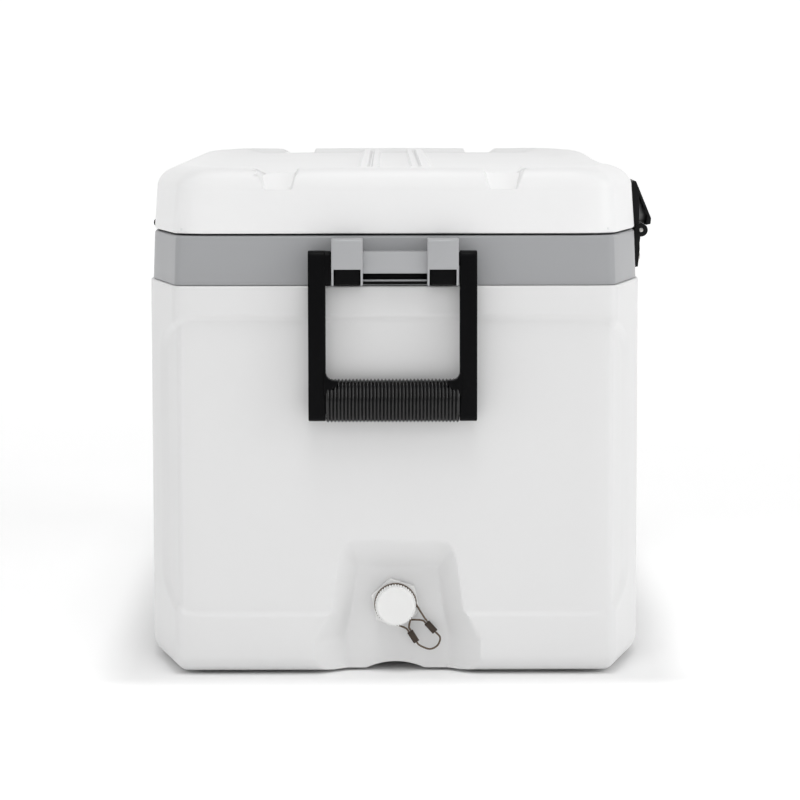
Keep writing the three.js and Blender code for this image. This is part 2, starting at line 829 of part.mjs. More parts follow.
function latchLever() {
  const half = latchWidth / 2;
  const lidFace = -halfWidth + lidInsetLow;
  const top = leverTop;
  const pivot = latchPivotHeight;
  const y = latchPivotY;
  const profile = [
    [lidFace, top],
    [lidFace - 3.2, top - 0.3],
    [y - 8.4, pivot + 10],
    [y - 7.9, pivot + 5],
    [y - 3.6, pivot + 4.2],
    [y - 5.0, pivot + 11],
    [y + 1.7, pivot + 29],
    [y + 1.7, pivot + 4],
    [y - 1, pivot],
    [lidFace - 2.6, pivot + 1],
    [lidFace - 2.4, pivot + 6],
    [lidFace, pivot + 19],
  ];
  const middle = half - latchEar - fit;
  const knuckle = barAlongX(latchKnuckle, -middle, middle, y, pivot, 20);
  const body = profileAlongX(profile, -half, half);
  const ears = [-1, 1].map((side) => {
    const [from, to] = [side * middle, side * (half + 1)].sort((a, b) => a - b);
    return barAlongX(latchKnuckle + fit, from, to, y, pivot, 20);
  });
  const bore = barAlongX(latchPin + fit, -half - 1, half + 1, y, pivot, 12);
  return cut(join(cut(body, ...ears), knuckle), bore);
}

function latchPinBar() {
  const half = latchWidth / 2;
  return barAlongX(latchPin, -half, half, latchPivotY, latchPivotHeight, 12);
}

// ---------------------------------------------------------------- screws, driven along +Y from a face at y = 0

// A pan-head screw: the head stands out to -Y and the shank goes in to +Y.
function screw(depth) {
  const profile = [
    [0, -depth],
    [screwShank, -depth + screwShank],
    [screwShank, 0],
    [screwHead, 0],
    [screwHead * 0.8, screwHeadHeight],
    [0, screwHeadHeight],
  ];
  const geometry = new THREE.LatheGeometry(
    profile.map(([radius, along]) => new THREE.Vector2(radius, along)),
    screwSides,
  );
  geometry.rotateX(Math.PI);
  return solid(geometry);
}

// The hole that such a screw passes through, long enough for a leaf and the wall behind it.
function screwHole() {
  return solid(new THREE.CylinderGeometry(screwShank + fit, screwShank + fit, screwHoleLength, screwSides));
}

// ---------------------------------------------------------------- the hinges, made about x = 0

// A leaf of a hinge: its plate hangs from the pin, and its knuckles cover the given stretches of X.
function hingeLeaf(stretches) {
  const half = hingeWidth / 2;
  const inner = -hingeKnuckle;
  const plate = box([-half, inner, -hingeReach], [half, inner + hingeThickness, -hingeKnuckle - hingeClearance]);
  const knuckles = stretches.map(([from, to]) =>
    join(
      barAlongX(hingeKnuckle, from, to, 0, 0, 16),
      box([from, inner, -hingeKnuckle - hingeClearance - 1], [to, inner + hingeThickness, 0]),
    ),
  );
  const bore = barAlongX(hingePin + fit, -half - 1, half + 1, 0, 0, 12);
  const holes = hingeScrewSpots.map((x) => moved(screwHole(), x, 0, -hingeScrewDrop));
  return cut(join(plate, ...knuckles), bore, ...holes);
}

function bodyHingeLeaf() {
  const half = hingeWidth / 2;
  return hingeLeaf([
    [-half, -half + hingeEar],
    [half - hingeEar, half],
  ]);
}

function lidHingeLeaf() {
  const half = hingeWidth / 2 - hingeEar - fit;
  return hingeLeaf([[-half, half]]);
}

function hingePinBar() {
  return barAlongX(hingePin, -hingeWidth / 2, hingeWidth / 2, 0, 0, 12);
}

// ---------------------------------------------------------------- the drain

function drainSpout() {
  const inside = endX + linerInset + linerDraft + fit + nutThickness + spoutPast;
  const tube = barAlongX(spoutRadius, spoutEndX, inside, 0, drainHeight);
  const flange = barAlongX(flangeCorner, neckX, flangeX, 0, drainHeight, 6, flangeTurn);
  const bore = barAlongX(spoutBore, spoutEndX - 1, inside + 1, 0, drainHeight);
  return cut(join(tube, flange), bore);
}

function drainWasher() {
  const disc = barAlongX(washerRadius, washerX - washerThickness, washerX, 0, drainHeight);
  return cut(disc, barAlongX(spoutRadius + fit, washerX - 5, washerX + 5, 0, drainHeight));
}

function drainNut() {
  const from = endX + linerInset + linerDraft + fit;
  const body = barAlongX(nutCorner, from, from + nutThickness, 0, drainHeight, 6);
  return cut(body, barAlongX(spoutRadius + fit, from - 1, from + nutThickness + 1, 0, drainHeight));
}

function drainCap() {
  const outer = capX - capLength;
  const body = barAlongX(capRadius, outer, capX, 0, drainHeight, 36);
  return cut(body, barAlongX(spoutRadius + 2 * fit, outer + capTop, capX + 1, 0, drainHeight));
}

function capSeal() {
  const outer = capX - capLength + capTop + fit;
  const disc = barAlongX(spoutRadius + fit, outer, outer + sealThickness, 0, drainHeight);
  return cut(disc, barAlongX(spoutBore + fit, outer - 1, outer + sealThickness + 1, 0, drainHeight));
}

// ---------------------------------------------------------------- the tether

// A point on the tether, given from the drain's axis.
const tetherPoint = ([x, y, z]) => new THREE.Vector3(x, y, drainHeight + z);

// A crimped ferrule lies with its length along the wire. Its middle lies at a bearing from the drain's
// axis, and its slope is below -Y.
const ferruleX = neckX - neckLength / 2;

function crimp(x, bearing, beyondSpout, slope) {
  const reach = spoutRadius + beyondSpout;
  const angle = THREE.MathUtils.degToRad(bearing);
  return {
    middle: [x, reach * Math.cos(angle), reach * Math.sin(angle)],
    slope: THREE.MathUtils.degToRad(slope),
  };
}

const ferrules = {
  spout: crimp(ferruleX + 0.5, 213.9, 22.5, 48),
  cap: crimp(ferruleX - 0.9, 241.8, 18.2, 58),
};

// A point beside a ferrule: so far along its length from the middle, and so far across it.
function besideFerrule({ middle, slope }, along, across) {
  const [x, y, z] = middle;
  return [
    x,
    y - along * Math.cos(slope) - across * Math.sin(slope),
    z - along * Math.sin(slope) + across * Math.cos(slope),
  ];
}

function ferrule({ middle, slope }) {
  const outline = roundedRectangle(ferruleWidth / 2, -ferruleThickness / 2, ferruleThickness / 2, 1.2, 3);
  const shape = new THREE.Shape(outline.map(([across, up]) => new THREE.Vector2(across, up)));
  const geometry = new THREE.ExtrudeGeometry(shape, { depth: ferruleLength, bevelEnabled: false });
  geometry.translate(0, 0, -ferruleLength / 2);
  geometry.rotateX(Math.PI / 2); // length along -Y, thickness along Z
  geometry.rotateY(Math.PI / 2); // thickness along X
  geometry.rotateX(slope);
  geometry.translate(...tetherPoint(middle).toArray());
  return solid(geometry);
}

function wire(points, steps) {
  const path = new THREE.CatmullRomCurve3(points.map(tetherPoint), false, "centripetal");
  const section = new THREE.Shape(
    Array.from({ length: wireSides }, (_, i) => {
      const angle = (2 * Math.PI * i) / wireSides;
      return new THREE.Vector2(wireRadius * Math.cos(angle), wireRadius * Math.sin(angle));
    }),
  );
  return solid(new THREE.ExtrudeGeometry(section, { steps, extrudePath: path, bevelEnabled: false }));
}

// A loop from a ferrule's upper end round the neck of the spout and back.
function neckLoop(held, x) {
  const radius = spoutRadius + wireRadius + fit;
  const toward = Math.atan2(held.middle[2], held.middle[1]);
  const end = -ferruleLength / 2 - fit;
  const points = [besideFerrule(held, end, 1), besideFerrule(held, end - 3, 1.2)];
  for (let i = 0; i <= loopSteps; i++) {
    const angle = toward + Math.PI + loopWrap * (1 - (2 * i) / loopSteps);
    points.push([x, radius * Math.cos(angle), radius * Math.sin(angle)]);
  }
  points.push(besideFerrule(held, end - 3, -1.2), besideFerrule(held, end, -1));
  return wire(points, 24);
}

// The free arc between the lower ends of the ferrules.
function tetherLink() {
  const end = ferruleLength / 2 + fit;
  const [, y, z] = ferrules.spout.middle;
  return wire(
    [
      besideFerrule(ferrules.spout, end, 0),
      besideFerrule(ferrules.spout, end + 2, 0.2),
      [ferruleX, y - 7.6, z - 8.9],
      [ferruleX, y - 5.4, z - 15.1],
      [ferruleX, y + 0.4, z - 18.1],
      [ferruleX, y + 6.8, z - 16.3],
      besideFerrule(ferrules.cap, end + 2, 0.1),
      besideFerrule(ferrules.cap, end, 0),
    ],
    12,
  );
}

// ---------------------------------------------------------------- materials

const finish = (color, roughness, metalness = 0) => new THREE.MeshStandardMaterial({ color, roughness, metalness });

const whitePlastic = finish(0xe6e6e5, 0.42);
const linerPlastic = finish(0xe2e3e3, 0.35);
const greyPlastic = finish(0x9fa0a2, 0.34);
const bracketPlastic = finish(0xa9aaac, 0.36);
const blackPlastic = finish(0x151517, 0.4);
const blackRubber = finish(0x1c1c1e, 0.7);
const foam = finish(0xe9dcb4, 0.95);
const seal = finish(0x3a3b3d, 0.8);
const steel = finish(0xb9b7b2, 0.25, 1);
const drainPlastic = finish(0xe9e9e8, 0.4);

// ---------------------------------------------------------------- the assembly

const chest = new THREE.Group();

function add(parent, name, shape, material, place = {}) {
  const geometry = geometryOf(shape);
  geometry.computeVertexNormals();
  const mesh = new THREE.Mesh(geometry, material);
  mesh.name = name;
  mesh.position.set(...(place.position ?? [0, 0, 0]));
  mesh.rotation.set(...(place.rotation ?? [0, 0, 0]));
  parent.add(mesh);
  return mesh;
}

function addGroup(matrix) {
  const group = new THREE.Group();
  matrix.decompose(group.position, group.quaternion, group.scale);
  chest.add(group);
  return group;
}

add(chest, "outer_shell", outerShell(), whitePlastic);
add(chest, "inner_liner", innerLiner(), linerPlastic);
add(chest, "body_foam", bodyFoam(), foam);
add(chest, "rim_collar", rimCollar(), greyPlastic);
add(chest, "lid_shell", lidShell(), whitePlastic);
add(chest, "lid_liner", lidLiner(), linerPlastic);
add(chest, "lid_foam", lidFoam(), foam);
add(chest, "lid_gasket", lidGasket(), seal);

const ends = [
  { side: "left", turn: 0 },
  { side: "right", turn: Math.PI },
];
for (const { side, turn } of ends) {
  const group = addGroup(new THREE.Matrix4().makeRotationZ(turn));
  add(group, `${side}_handle_bracket`, handleBracket(), bracketPlastic);
  const [front, rear] = handleBearings();
  add(group, `${side}_handle_bearing_${turn ? "rear" : "front"}`, front, blackPlastic);
  add(group, `${side}_handle_bearing_${turn ? "front" : "rear"}`, rear, blackPlastic);
  add(group, `${side}_handle_bail`, bail(), blackPlastic);
  add(group, `${side}_handle_grip`, gripSleeve(), blackRubber);
}

for (const { side, sign } of sides) {
  const latch = addGroup(latchPlace(sign));
  add(latch, `${side}_latch_leaf`, latchLeaf(), blackPlastic);
  add(latch, `${side}_latch_lever`, latchLever(), blackPlastic);
  add(latch, `${side}_latch_pin`, latchPinBar(), steel);
  latchScrewSpots.forEach((x, i) => {
    const face = frontOfCollar - fit - leafThickness;
    const depth = leafThickness + fit + collarSkirt - 0.5;
    add(latch, `${side}_latch_screw_${i + 1}`, screw(depth), steel, { position: [x, face - fit, latchScrewHeight] });
  });
}

for (const { side, sign } of sides) {
  const hinge = addGroup(hingePlace(sign, 0, 1));
  const lower = addGroup(hingePlace(sign, bodyLean, 1));
  const upper = addGroup(hingePlace(sign, lidLean, -1));
  add(lower, `${side}_hinge_body_leaf`, bodyHingeLeaf(), blackPlastic);
  add(upper, `${side}_hinge_lid_leaf`, lidHingeLeaf(), blackPlastic);
  add(hinge, `${side}_hinge_pin`, hingePinBar(), steel);
  const face = -hingeKnuckle + hingeThickness + fit;
  hingeScrewSpots.forEach((x, i) => {
    const place = { position: [x, face, -hingeScrewDrop], rotation: [0, 0, Math.PI] };
    const depth = hingeThickness + collarSkirt;
    add(lower, `${side}_hinge_body_screw_${i + 1}`, screw(depth), steel, place);
    add(upper, `${side}_hinge_lid_screw_${i + 1}`, screw(hingeThickness + lidWall), steel, place);
  });
}

add(chest, "drain_spout", drainSpout(), drainPlastic);
add(chest, "drain_washer", drainWasher(), seal);
add(chest, "drain_nut", drainNut(), drainPlastic);
add(chest, "drain_cap", drainCap(), drainPlastic);
add(chest, "drain_cap_seal", capSeal(), seal);
add(chest, "tether_spout_loop", neckLoop(ferrules.spout, neckX - fit - wireRadius), steel);
add(chest, "tether_spout_ferrule", ferrule(ferrules.spout), steel);
add(chest, "tether_link", tetherLink(), steel);
add(chest, "tether_cap_ferrule", ferrule(ferrules.cap), steel);
add(chest, "tether_cap_loop", neckLoop(ferrules.cap, capX + fit + wireRadius), steel);

export default chest;
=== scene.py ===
# %% [markdown]
# # An insulated cooler chest
# The real chest is a double-walled plastic tub with foam inside, a grey collar round its mouth, a
# white lid, two black latches in front, two swinging handles at the ends and a capped drain.
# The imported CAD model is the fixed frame. Everything below is measured from it and placed in it,
# in metres, with X along the chest, the latches on -Y and Z up.

import math

import bmesh
import bpy
import numpy as np
from mathutils import Matrix, Vector


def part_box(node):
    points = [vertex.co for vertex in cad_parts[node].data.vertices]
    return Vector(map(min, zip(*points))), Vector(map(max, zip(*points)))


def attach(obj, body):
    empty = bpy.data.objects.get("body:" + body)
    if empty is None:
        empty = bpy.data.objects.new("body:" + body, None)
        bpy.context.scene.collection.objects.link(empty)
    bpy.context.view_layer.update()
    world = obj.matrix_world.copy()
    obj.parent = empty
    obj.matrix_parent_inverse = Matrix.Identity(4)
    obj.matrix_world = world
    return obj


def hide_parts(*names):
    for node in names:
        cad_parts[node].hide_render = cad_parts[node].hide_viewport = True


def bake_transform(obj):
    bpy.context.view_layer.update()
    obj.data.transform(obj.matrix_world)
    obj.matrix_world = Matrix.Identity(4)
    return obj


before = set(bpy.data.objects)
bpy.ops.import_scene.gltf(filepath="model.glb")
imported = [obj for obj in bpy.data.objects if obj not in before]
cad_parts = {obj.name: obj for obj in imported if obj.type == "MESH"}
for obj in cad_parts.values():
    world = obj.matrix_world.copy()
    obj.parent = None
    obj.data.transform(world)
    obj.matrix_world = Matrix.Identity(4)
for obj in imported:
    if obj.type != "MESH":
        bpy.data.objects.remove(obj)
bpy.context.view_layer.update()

# %% The sizes that many pieces share
MM = 0.001
shell_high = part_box("outer_shell")[1]
HALF_LENGTH = shell_high.x
HALF_WIDTH = shell_high.y
SHELL_TOP = shell_high.z
COLLAR_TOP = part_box("rim_collar")[1].z
LID_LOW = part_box("lid_shell")[0].z
LID_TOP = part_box("lid_shell")[1].z
GAP = 0.3 * MM
print("tub", HALF_LENGTH, HALF_WIDTH, SHELL_TOP, "collar", COLLAR_TOP, "lid", LID_LOW, LID_TOP)

# %% [markdown]
# ## The camera
# The chest is seen from its drain end, a little above the lid, through a long lens, so its length
# is strongly foreshortened. A camera is an object whose own -Z axis looks forward and whose +Y is
# up. Its rotation is built from three directions, which is easier to control than three angles.

# %% Place the camera
CAMERA_DISTANCE = 2.5191
PITCH_DOWN = 0.1038
YAW_TO_FRONT = 0.0042
ROLL = -0.0015
LENS = 140.7
CAMERA_TO_HINGE_SIDE = 6.7 * MM
CAMERA_ABOVE_LID = 74.9 * MM

forward = Vector((
    math.cos(PITCH_DOWN) * math.cos(YAW_TO_FRONT),
    -math.cos(PITCH_DOWN) * math.sin(YAW_TO_FRONT),
    -math.sin(PITCH_DOWN),
))
level_right = Vector((-math.sin(YAW_TO_FRONT), -math.cos(YAW_TO_FRONT), 0))
level_up = level_right.cross(forward)
right = math.cos(ROLL) * level_right + math.sin(ROLL) * level_up
up = math.cos(ROLL) * level_up - math.sin(ROLL) * level_right
camera_data = bpy.data.cameras.new("camera")
camera_data.lens = LENS
camera_data.sensor_width = 36
camera_data.clip_end = 60
camera = bpy.data.objects.new("camera", camera_data)
camera.rotation_mode = "QUATERNION"
camera.rotation_quaternion = Matrix((right, up, -forward)).transposed().to_quaternion()
camera.location = (-HALF_LENGTH - CAMERA_DISTANCE, CAMERA_TO_HINGE_SIDE, LID_TOP + CAMERA_ABOVE_LID)
bpy.context.scene.collection.objects.link(camera)
bpy.context.scene.camera = camera
print("camera at", [round(v, 3) for v in camera.location])

# %% [markdown]
# ## Small helpers for meshes
# Most pieces are made from lists of corner points and faces. A grid of points with closed columns
# makes walls, and a ring can be shut by joining each point to its mirror image across the chest.

# %% Mesh helpers
def new_object(name, points, faces, materials, smooth_angle=math.radians(35)):
    mesh = bpy.data.meshes.new(name)
    mesh.from_pydata(np.asarray(points, float).tolist(), [], faces)
    mesh.validate()
    for material in materials if isinstance(materials, list) else [materials]:
        mesh.materials.append(material)
    shade(mesh, smooth_angle)
    obj = bpy.data.objects.new(name, mesh)
    bpy.context.scene.collection.objects.link(obj)
    return obj


def shade(mesh, smooth_angle):
    mesh.shade_smooth()
    mesh.set_sharp_from_angle(angle=smooth_angle)
    mesh.update()


# Faces of a grid stored row by row. Closed columns join the last column to the first.
def grid_faces(rows, columns, closed=True, start=0):
    faces = []
    for row in range(rows - 1):
        for column in range(columns if closed else columns - 1):
            here = start + row * columns + column
            beside = start + row * columns + (column + 1) % columns
            faces.append((here, beside, beside + columns, here + columns))
    return faces


def turn_outward(obj):
    work = bmesh.new()
    work.from_mesh(obj.data)
    bmesh.ops.recalc_face_normals(work, faces=work.faces)
    work.to_mesh(obj.data)
    work.free()
    obj.data.update()
    return obj


# A finished piece rides on a body and stands for the CAD nodes it details.
def finish_piece(obj, body, slot_name, *nodes):
    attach(obj, body)
    if nodes:
        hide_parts(*nodes)
    print(obj.name, "rides on", body, "with", len(obj.data.polygons), "faces")
    return obj


def smoothstep(low, high, value):
    share = np.clip((np.asarray(value, float) - low) / (high - low), 0, 1)
    return share * share * (3 - 2 * share)

# %% [markdown]
# ## Materials
# Plastics differ mostly in colour, in how sharp their reflections are and in the fine texture that
# the mould leaves. One recipe makes them all: a noise that shifts the colour very little, a second
# noise that varies the roughness as handling does, and a fine bump for the moulded grain. Object
# coordinates are used because every finished piece has its origin at the middle of the chest.

# %% The recipe for moulded plastic
def linear(value):
    value = value / 255
    return value / 12.92 if value <= 0.04045 else ((value + 0.055) / 1.055) ** 2.4


def tone(red, green, blue):
    return (linear(red), linear(green), linear(blue), 1)


# Mixes two colours by a noise in object space and returns the socket with the result.
def mottled(tree, light, dark, scale, contrast=0.35):
    nodes, links = tree.nodes, tree.links
    place = nodes.new("ShaderNodeTexCoord")
    noise = nodes.new("ShaderNodeTexNoise")
    noise.inputs["Scale"].default_value = scale
    noise.inputs["Detail"].default_value = 4
    links.new(place.outputs["Object"], noise.inputs["Vector"])
    ramp = nodes.new("ShaderNodeValToRGB")
    ramp.color_ramp.elements[0].position = 0.5 - contrast
    ramp.color_ramp.elements[0].color = dark
    ramp.color_ramp.elements[1].position = 0.5 + contrast
    ramp.color_ramp.elements[1].color = light
    links.new(noise.outputs["Fac"], ramp.inputs["Fac"])
    return place, ramp.outputs["Color"]


def plastic(name, light, dark, roughness, spread=0.03, grain=900, grain_depth=0.04, gloss=0.5, metal=0.0):
    material = bpy.data.materials.new(name)
    material.use_nodes = True
    tree = material.node_tree
    nodes, links = tree.nodes, tree.links
    shader = nodes["Principled BSDF"]
    place, colour = mottled(tree, light, dark, 7)
    links.new(colour, shader.inputs["Base Color"])
    shader.inputs["Metallic"].default_value = metal
    shader.inputs["Specular IOR Level"].default_value = gloss
    handling = nodes.new("ShaderNodeTexNoise")
    handling.inputs["Scale"].default_value = 22
    handling.inputs["Detail"].default_value = 3
    links.new(place.outputs["Object"], handling.inputs["Vector"])
    range_node = nodes.new("ShaderNodeMapRange")
    range_node.inputs["From Min"].default_value = 0.15
    range_node.inputs["From Max"].default_value = 0.85
    range_node.inputs["To Min"].default_value = roughness - spread
    range_node.inputs["To Max"].default_value = roughness + spread
    links.new(handling.outputs["Fac"], range_node.inputs["Value"])
    links.new(range_node.outputs["Result"], shader.inputs["Roughness"])
    fine = nodes.new("ShaderNodeTexNoise")
    fine.inputs["Scale"].default_value = grain
    fine.inputs["Detail"].default_value = 3
    links.new(place.outputs["Object"], fine.inputs["Vector"])
    bump = nodes.new("ShaderNodeBump")
    bump.inputs["Strength"].default_value = grain_depth
    bump.inputs["Distance"].default_value = 0.3 * MM
    links.new(fine.outputs["Fac"], bump.inputs["Height"])
    links.new(bump.outputs["Normal"], shader.inputs["Normal"])
    return material


tub_white = plastic("tub white", tone(232, 232, 232), tone(229, 229, 229), 0.42)
lid_white = plastic("lid white", tone(245, 245, 245), tone(241, 241, 241), 0.4, gloss=0.35)
liner_white = plastic("liner white", tone(236, 237, 237), tone(232, 233, 233), 0.3, grain_depth=0.02)
collar_grey = plastic("collar grey", tone(167, 168, 170), tone(164, 165, 167), 0.34,
                      grain_depth=0.015, gloss=0.12)
bracket_grey = plastic("bracket grey", tone(176, 177, 179), tone(172, 173, 175), 0.3,
                       grain_depth=0.02, gloss=0.4)
latch_black = plastic("latch black", tone(20, 20, 21), tone(14, 14, 15), 0.36, grain_depth=0.08, gloss=0.16)
arm_black = plastic("arm black", tone(9, 9, 11), tone(6, 6, 7), 0.38, grain_depth=0.06, gloss=0.07)
grip_black = plastic("grip rubber", tone(10, 10, 11), tone(6, 6, 7), 0.22, grain=1600,
                     grain_depth=0.04, gloss=0.5)
seal_grey = plastic("seal rubber", tone(70, 71, 73), tone(58, 59, 61), 0.7, grain_depth=0.05)
foam_cream = plastic("foam", tone(236, 219, 176), tone(222, 203, 158), 0.95, grain=260, grain_depth=0.5)
drain_white = plastic("drain white", tone(240, 240, 239), tone(235, 235, 234), 0.4)
print(len(bpy.data.materials), "materials so far")

# %% [markdown]
# The steel of the pins, screws and ferrules is bright and a little brushed. The tether has been in
# salt water, so brown stains lie along it, made by a noise that mixes in a rust colour.

# %% Steel and stained wire
steel = plastic("stainless steel", tone(205, 203, 199), tone(186, 184, 180), 0.24, grain=1400,
                grain_depth=0.05, metal=1.0)
wire_steel = plastic("tether steel", tone(126, 112, 98), tone(58, 44, 34), 0.42, grain=1200,
                     grain_depth=0.1, metal=0.85)
ferrule_steel = plastic("ferrule steel", tone(84, 74, 66), tone(34, 28, 24), 0.4, grain=1100,
                        grain_depth=0.1, metal=0.8)
print("steel, tether and ferrule materials made")

# %% [markdown]
# ## The wire tether
# A thin wire rope keeps the drain cap from being lost. One loop lies round the neck of the spout,
# the other just behind the cap's edge, and each is closed by a crimped ferrule. There is about
# 0.26 m of it in all. It is made as three ropes, because the cap end moves with the cap. Each is a
# tube swept along a smooth curve; six shallow lobes that turn as they go give the look of twisted
# strands.

# %% The line of each rope
drain_low, drain_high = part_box("drain_cap")
DRAIN_Z = (drain_low.z + drain_high.z) / 2
SPOUT_RADIUS = 12.5 * MM
CAP_INNER_X = drain_high.x
FLANGE_OUTER_X = CAP_INNER_X + 4.3 * MM
WIRE_RADIUS = 0.8 * MM
FERRULE_LENGTH = 10.4 * MM
MID_NECK_X = (CAP_INNER_X + FLANGE_OUTER_X) / 2
LOOP_SHARE = 0.62  # of half a turn, to each side, that a loop follows its circle


def crimp(x, bearing, beyond_spout, slope):
    reach = SPOUT_RADIUS + beyond_spout
    angle = math.radians(bearing)
    middle = Vector((x, reach * math.cos(angle), DRAIN_Z + reach * math.sin(angle)))
    return {"middle": middle, "slope": math.radians(slope)}


SPOUT_CRIMP = crimp(MID_NECK_X + 0.5 * MM, 213.9, 22.5 * MM, 48)
CAP_CRIMP = crimp(MID_NECK_X - 0.9 * MM, 241.8, 18.2 * MM, 58)


# A point beside a ferrule: so far along its length from the middle, and so far across it.
def beside(held, along, across):
    cosine, sine = math.cos(held["slope"]), math.sin(held["slope"])
    step = Vector((0, -along * cosine - across * sine, -along * sine + across * cosine))
    return held["middle"] + step


# A loop of this radius round the drain, with both its ends in the ferrule.
def loop_line(held, x, radius):
    middle = held["middle"]
    toward = math.atan2(middle.z - DRAIN_Z, middle.y)
    end = -FERRULE_LENGTH / 2 - GAP
    points = [beside(held, end, 1 * MM), beside(held, end - 3 * MM, 1.2 * MM)]
    for turned_back in np.linspace(LOOP_SHARE, -LOOP_SHARE, 11):
        angle = toward + math.pi + turned_back * math.pi
        points.append(Vector((x, radius * math.cos(angle), DRAIN_Z + radius * math.sin(angle))))
    return points + [beside(held, end - 3 * MM, -1.2 * MM), beside(held, end, -1 * MM)]


def link_line():
    end = FERRULE_LENGTH / 2 + GAP
    held = SPOUT_CRIMP["middle"]
    hanging = [(-7.6, -8.9), (-5.4, -15.1), (0.4, -18.1), (6.8, -16.3)]
    return [
        beside(SPOUT_CRIMP, end, 0),
        beside(SPOUT_CRIMP, end + 2 * MM, 0.2 * MM),
        *[Vector((MID_NECK_X, held.y + across * MM, held.z + rise * MM)) for across, rise in hanging],
        beside(CAP_CRIMP, end + 2 * MM, 0.1 * MM),
        beside(CAP_CRIMP, end, 0),
    ]


# A smooth line through the points: a centripetal Catmull-Rom curve, sampled evenly enough.
def smooth_line(points, per_span=6):
    points = [2 * points[0] - points[1], *points, 2 * points[-1] - points[-2]]
    line = []
    for a, b, c, d in zip(points, points[1:], points[2:], points[3:]):
        knots = [0.0]
        for first, second in ((a, b), (b, c), (c, d)):
            knots.append(knots[-1] + math.sqrt((second - first).length))
        for step in range(per_span):
            t = knots[1] + (knots[2] - knots[1]) * step / per_span
            ab = a.lerp(b, (t - knots[0]) / (knots[1] - knots[0]))
            bc = b.lerp(c, (t - knots[1]) / (knots[2] - knots[1]))
            cd = c.lerp(d, (t - knots[2]) / (knots[3] - knots[2]))
            abc = ab.lerp(bc, (t - knots[0]) / (knots[2] - knots[0]))
            bcd = bc.lerp(cd, (t - knots[1]) / (knots[3] - knots[1]))
            line.append(abc.lerp(bcd, (t - knots[1]) / (knots[2] - knots[1])))
    return line + [points[-2]]

# %% Sweep a twisted rope along a line
ROPE_LAY = 9 * MM  # length in which a strand goes once round
ROPE_SIDES = 18


def rope(name, line):
    rings = []
    side = (line[1] - line[0]).orthogonal().normalized()
    travelled = 0.0
    for index, point in enumerate(line):
        before, after = line[max(index - 1, 0)], line[min(index + 1, len(line) - 1)]
        along = (after - before).normalized()
        side = (side - side.dot(along) * along).normalized()
        other = along.cross(side)
        if index:
            travelled += (point - line[index - 1]).length
        for step in range(ROPE_SIDES):
            angle = 2 * math.pi * step / ROPE_SIDES
            strand = abs(math.cos(3 * (angle - 2 * math.pi * travelled / ROPE_LAY)))
            radius = WIRE_RADIUS * (0.86 + 0.14 * strand)
            rings.append(point + radius * (math.cos(angle) * side + math.sin(angle) * other))
    faces = grid_faces(len(line), ROPE_SIDES)
    last = (len(line) - 1) * ROPE_SIDES
    faces.append(tuple(range(ROPE_SIDES - 1, -1, -1)))
    faces.append(tuple(range(last, last + ROPE_SIDES)))
    return turn_outward(new_object(name, rings, faces, wire_steel)), travelled


SPOUT_LOOP = SPOUT_RADIUS + WIRE_RADIUS + GAP
CAP_LOOP = (drain_high.y - drain_low.y) / 2 - 0.1 * MM
ropes = {
    "rope_round_spout": (loop_line(SPOUT_CRIMP, FLANGE_OUTER_X - GAP - WIRE_RADIUS, SPOUT_LOOP),
                         "tether_spout_loop"),
    "rope_between": (link_line(), "tether_link"),
    "rope_round_cap": (loop_line(CAP_CRIMP, CAP_INNER_X + GAP + WIRE_RADIUS, CAP_LOOP), "tether_cap_loop"),
}
for name, (points, node) in ropes.items():
    line = smooth_line(points)
    piece, length = rope(name, line)
    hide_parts(node)
    if name == "rope_between":
        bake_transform(piece)
    else:
        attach(piece, "chest" if name == "rope_round_spout" else "cap_seat")
    print(name, "is", round(length, 4), "m long")

# %% [markdown]
# ## The plan of the chest
# Every large piece follows one outline: a flat end, a round corner, a long facet that slants a
# little, and a soft bend into the long side. A piece further in is the same outline moved in, with
# smaller radii. One function gives that outline at any inset, so that walls, collar, lid and liner
# stay parallel, as they are in the mould.

# %% The outline at any inset
FACET_ANGLE = math.radians(14.7)
TURN = math.pi / 2 - FACET_ANGLE
CORNER_RADIUS = 10 * MM
SWELL_RADIUS = 120 * MM
SWELL_TURN = math.radians(8)
SWELL_STEPS = 4
BEND_RADIUS = 120 * MM
END_TO_BEND = 85.2 * MM


# How far back the corner reaches from the end: a gentle swell and then a tight round.
def corner_reach(corner, swell):
    tight = corner * (math.cos(SWELL_TURN) - math.cos(TURN))
    return swell * (1 - math.cos(SWELL_TURN)) + tight


# The corner's points from the end of the flat, as (back from the end, out from the flat).
def corner_points(corner, swell, steps):
    points = []
    for angle in SWELL_TURN * np.arange(SWELL_STEPS) / SWELL_STEPS:
        points.append((swell * (1 - math.cos(angle)), swell * math.sin(angle)))
    base = swell * (1 - math.cos(SWELL_TURN)), swell * math.sin(SWELL_TURN)
    for angle in SWELL_TURN + (TURN - SWELL_TURN) * steps:
        points.append((
            base[0] + corner * (math.cos(SWELL_TURN) - math.cos(angle)),
            base[1] + corner * (math.sin(angle) - math.sin(SWELL_TURN)),
        ))
    return points


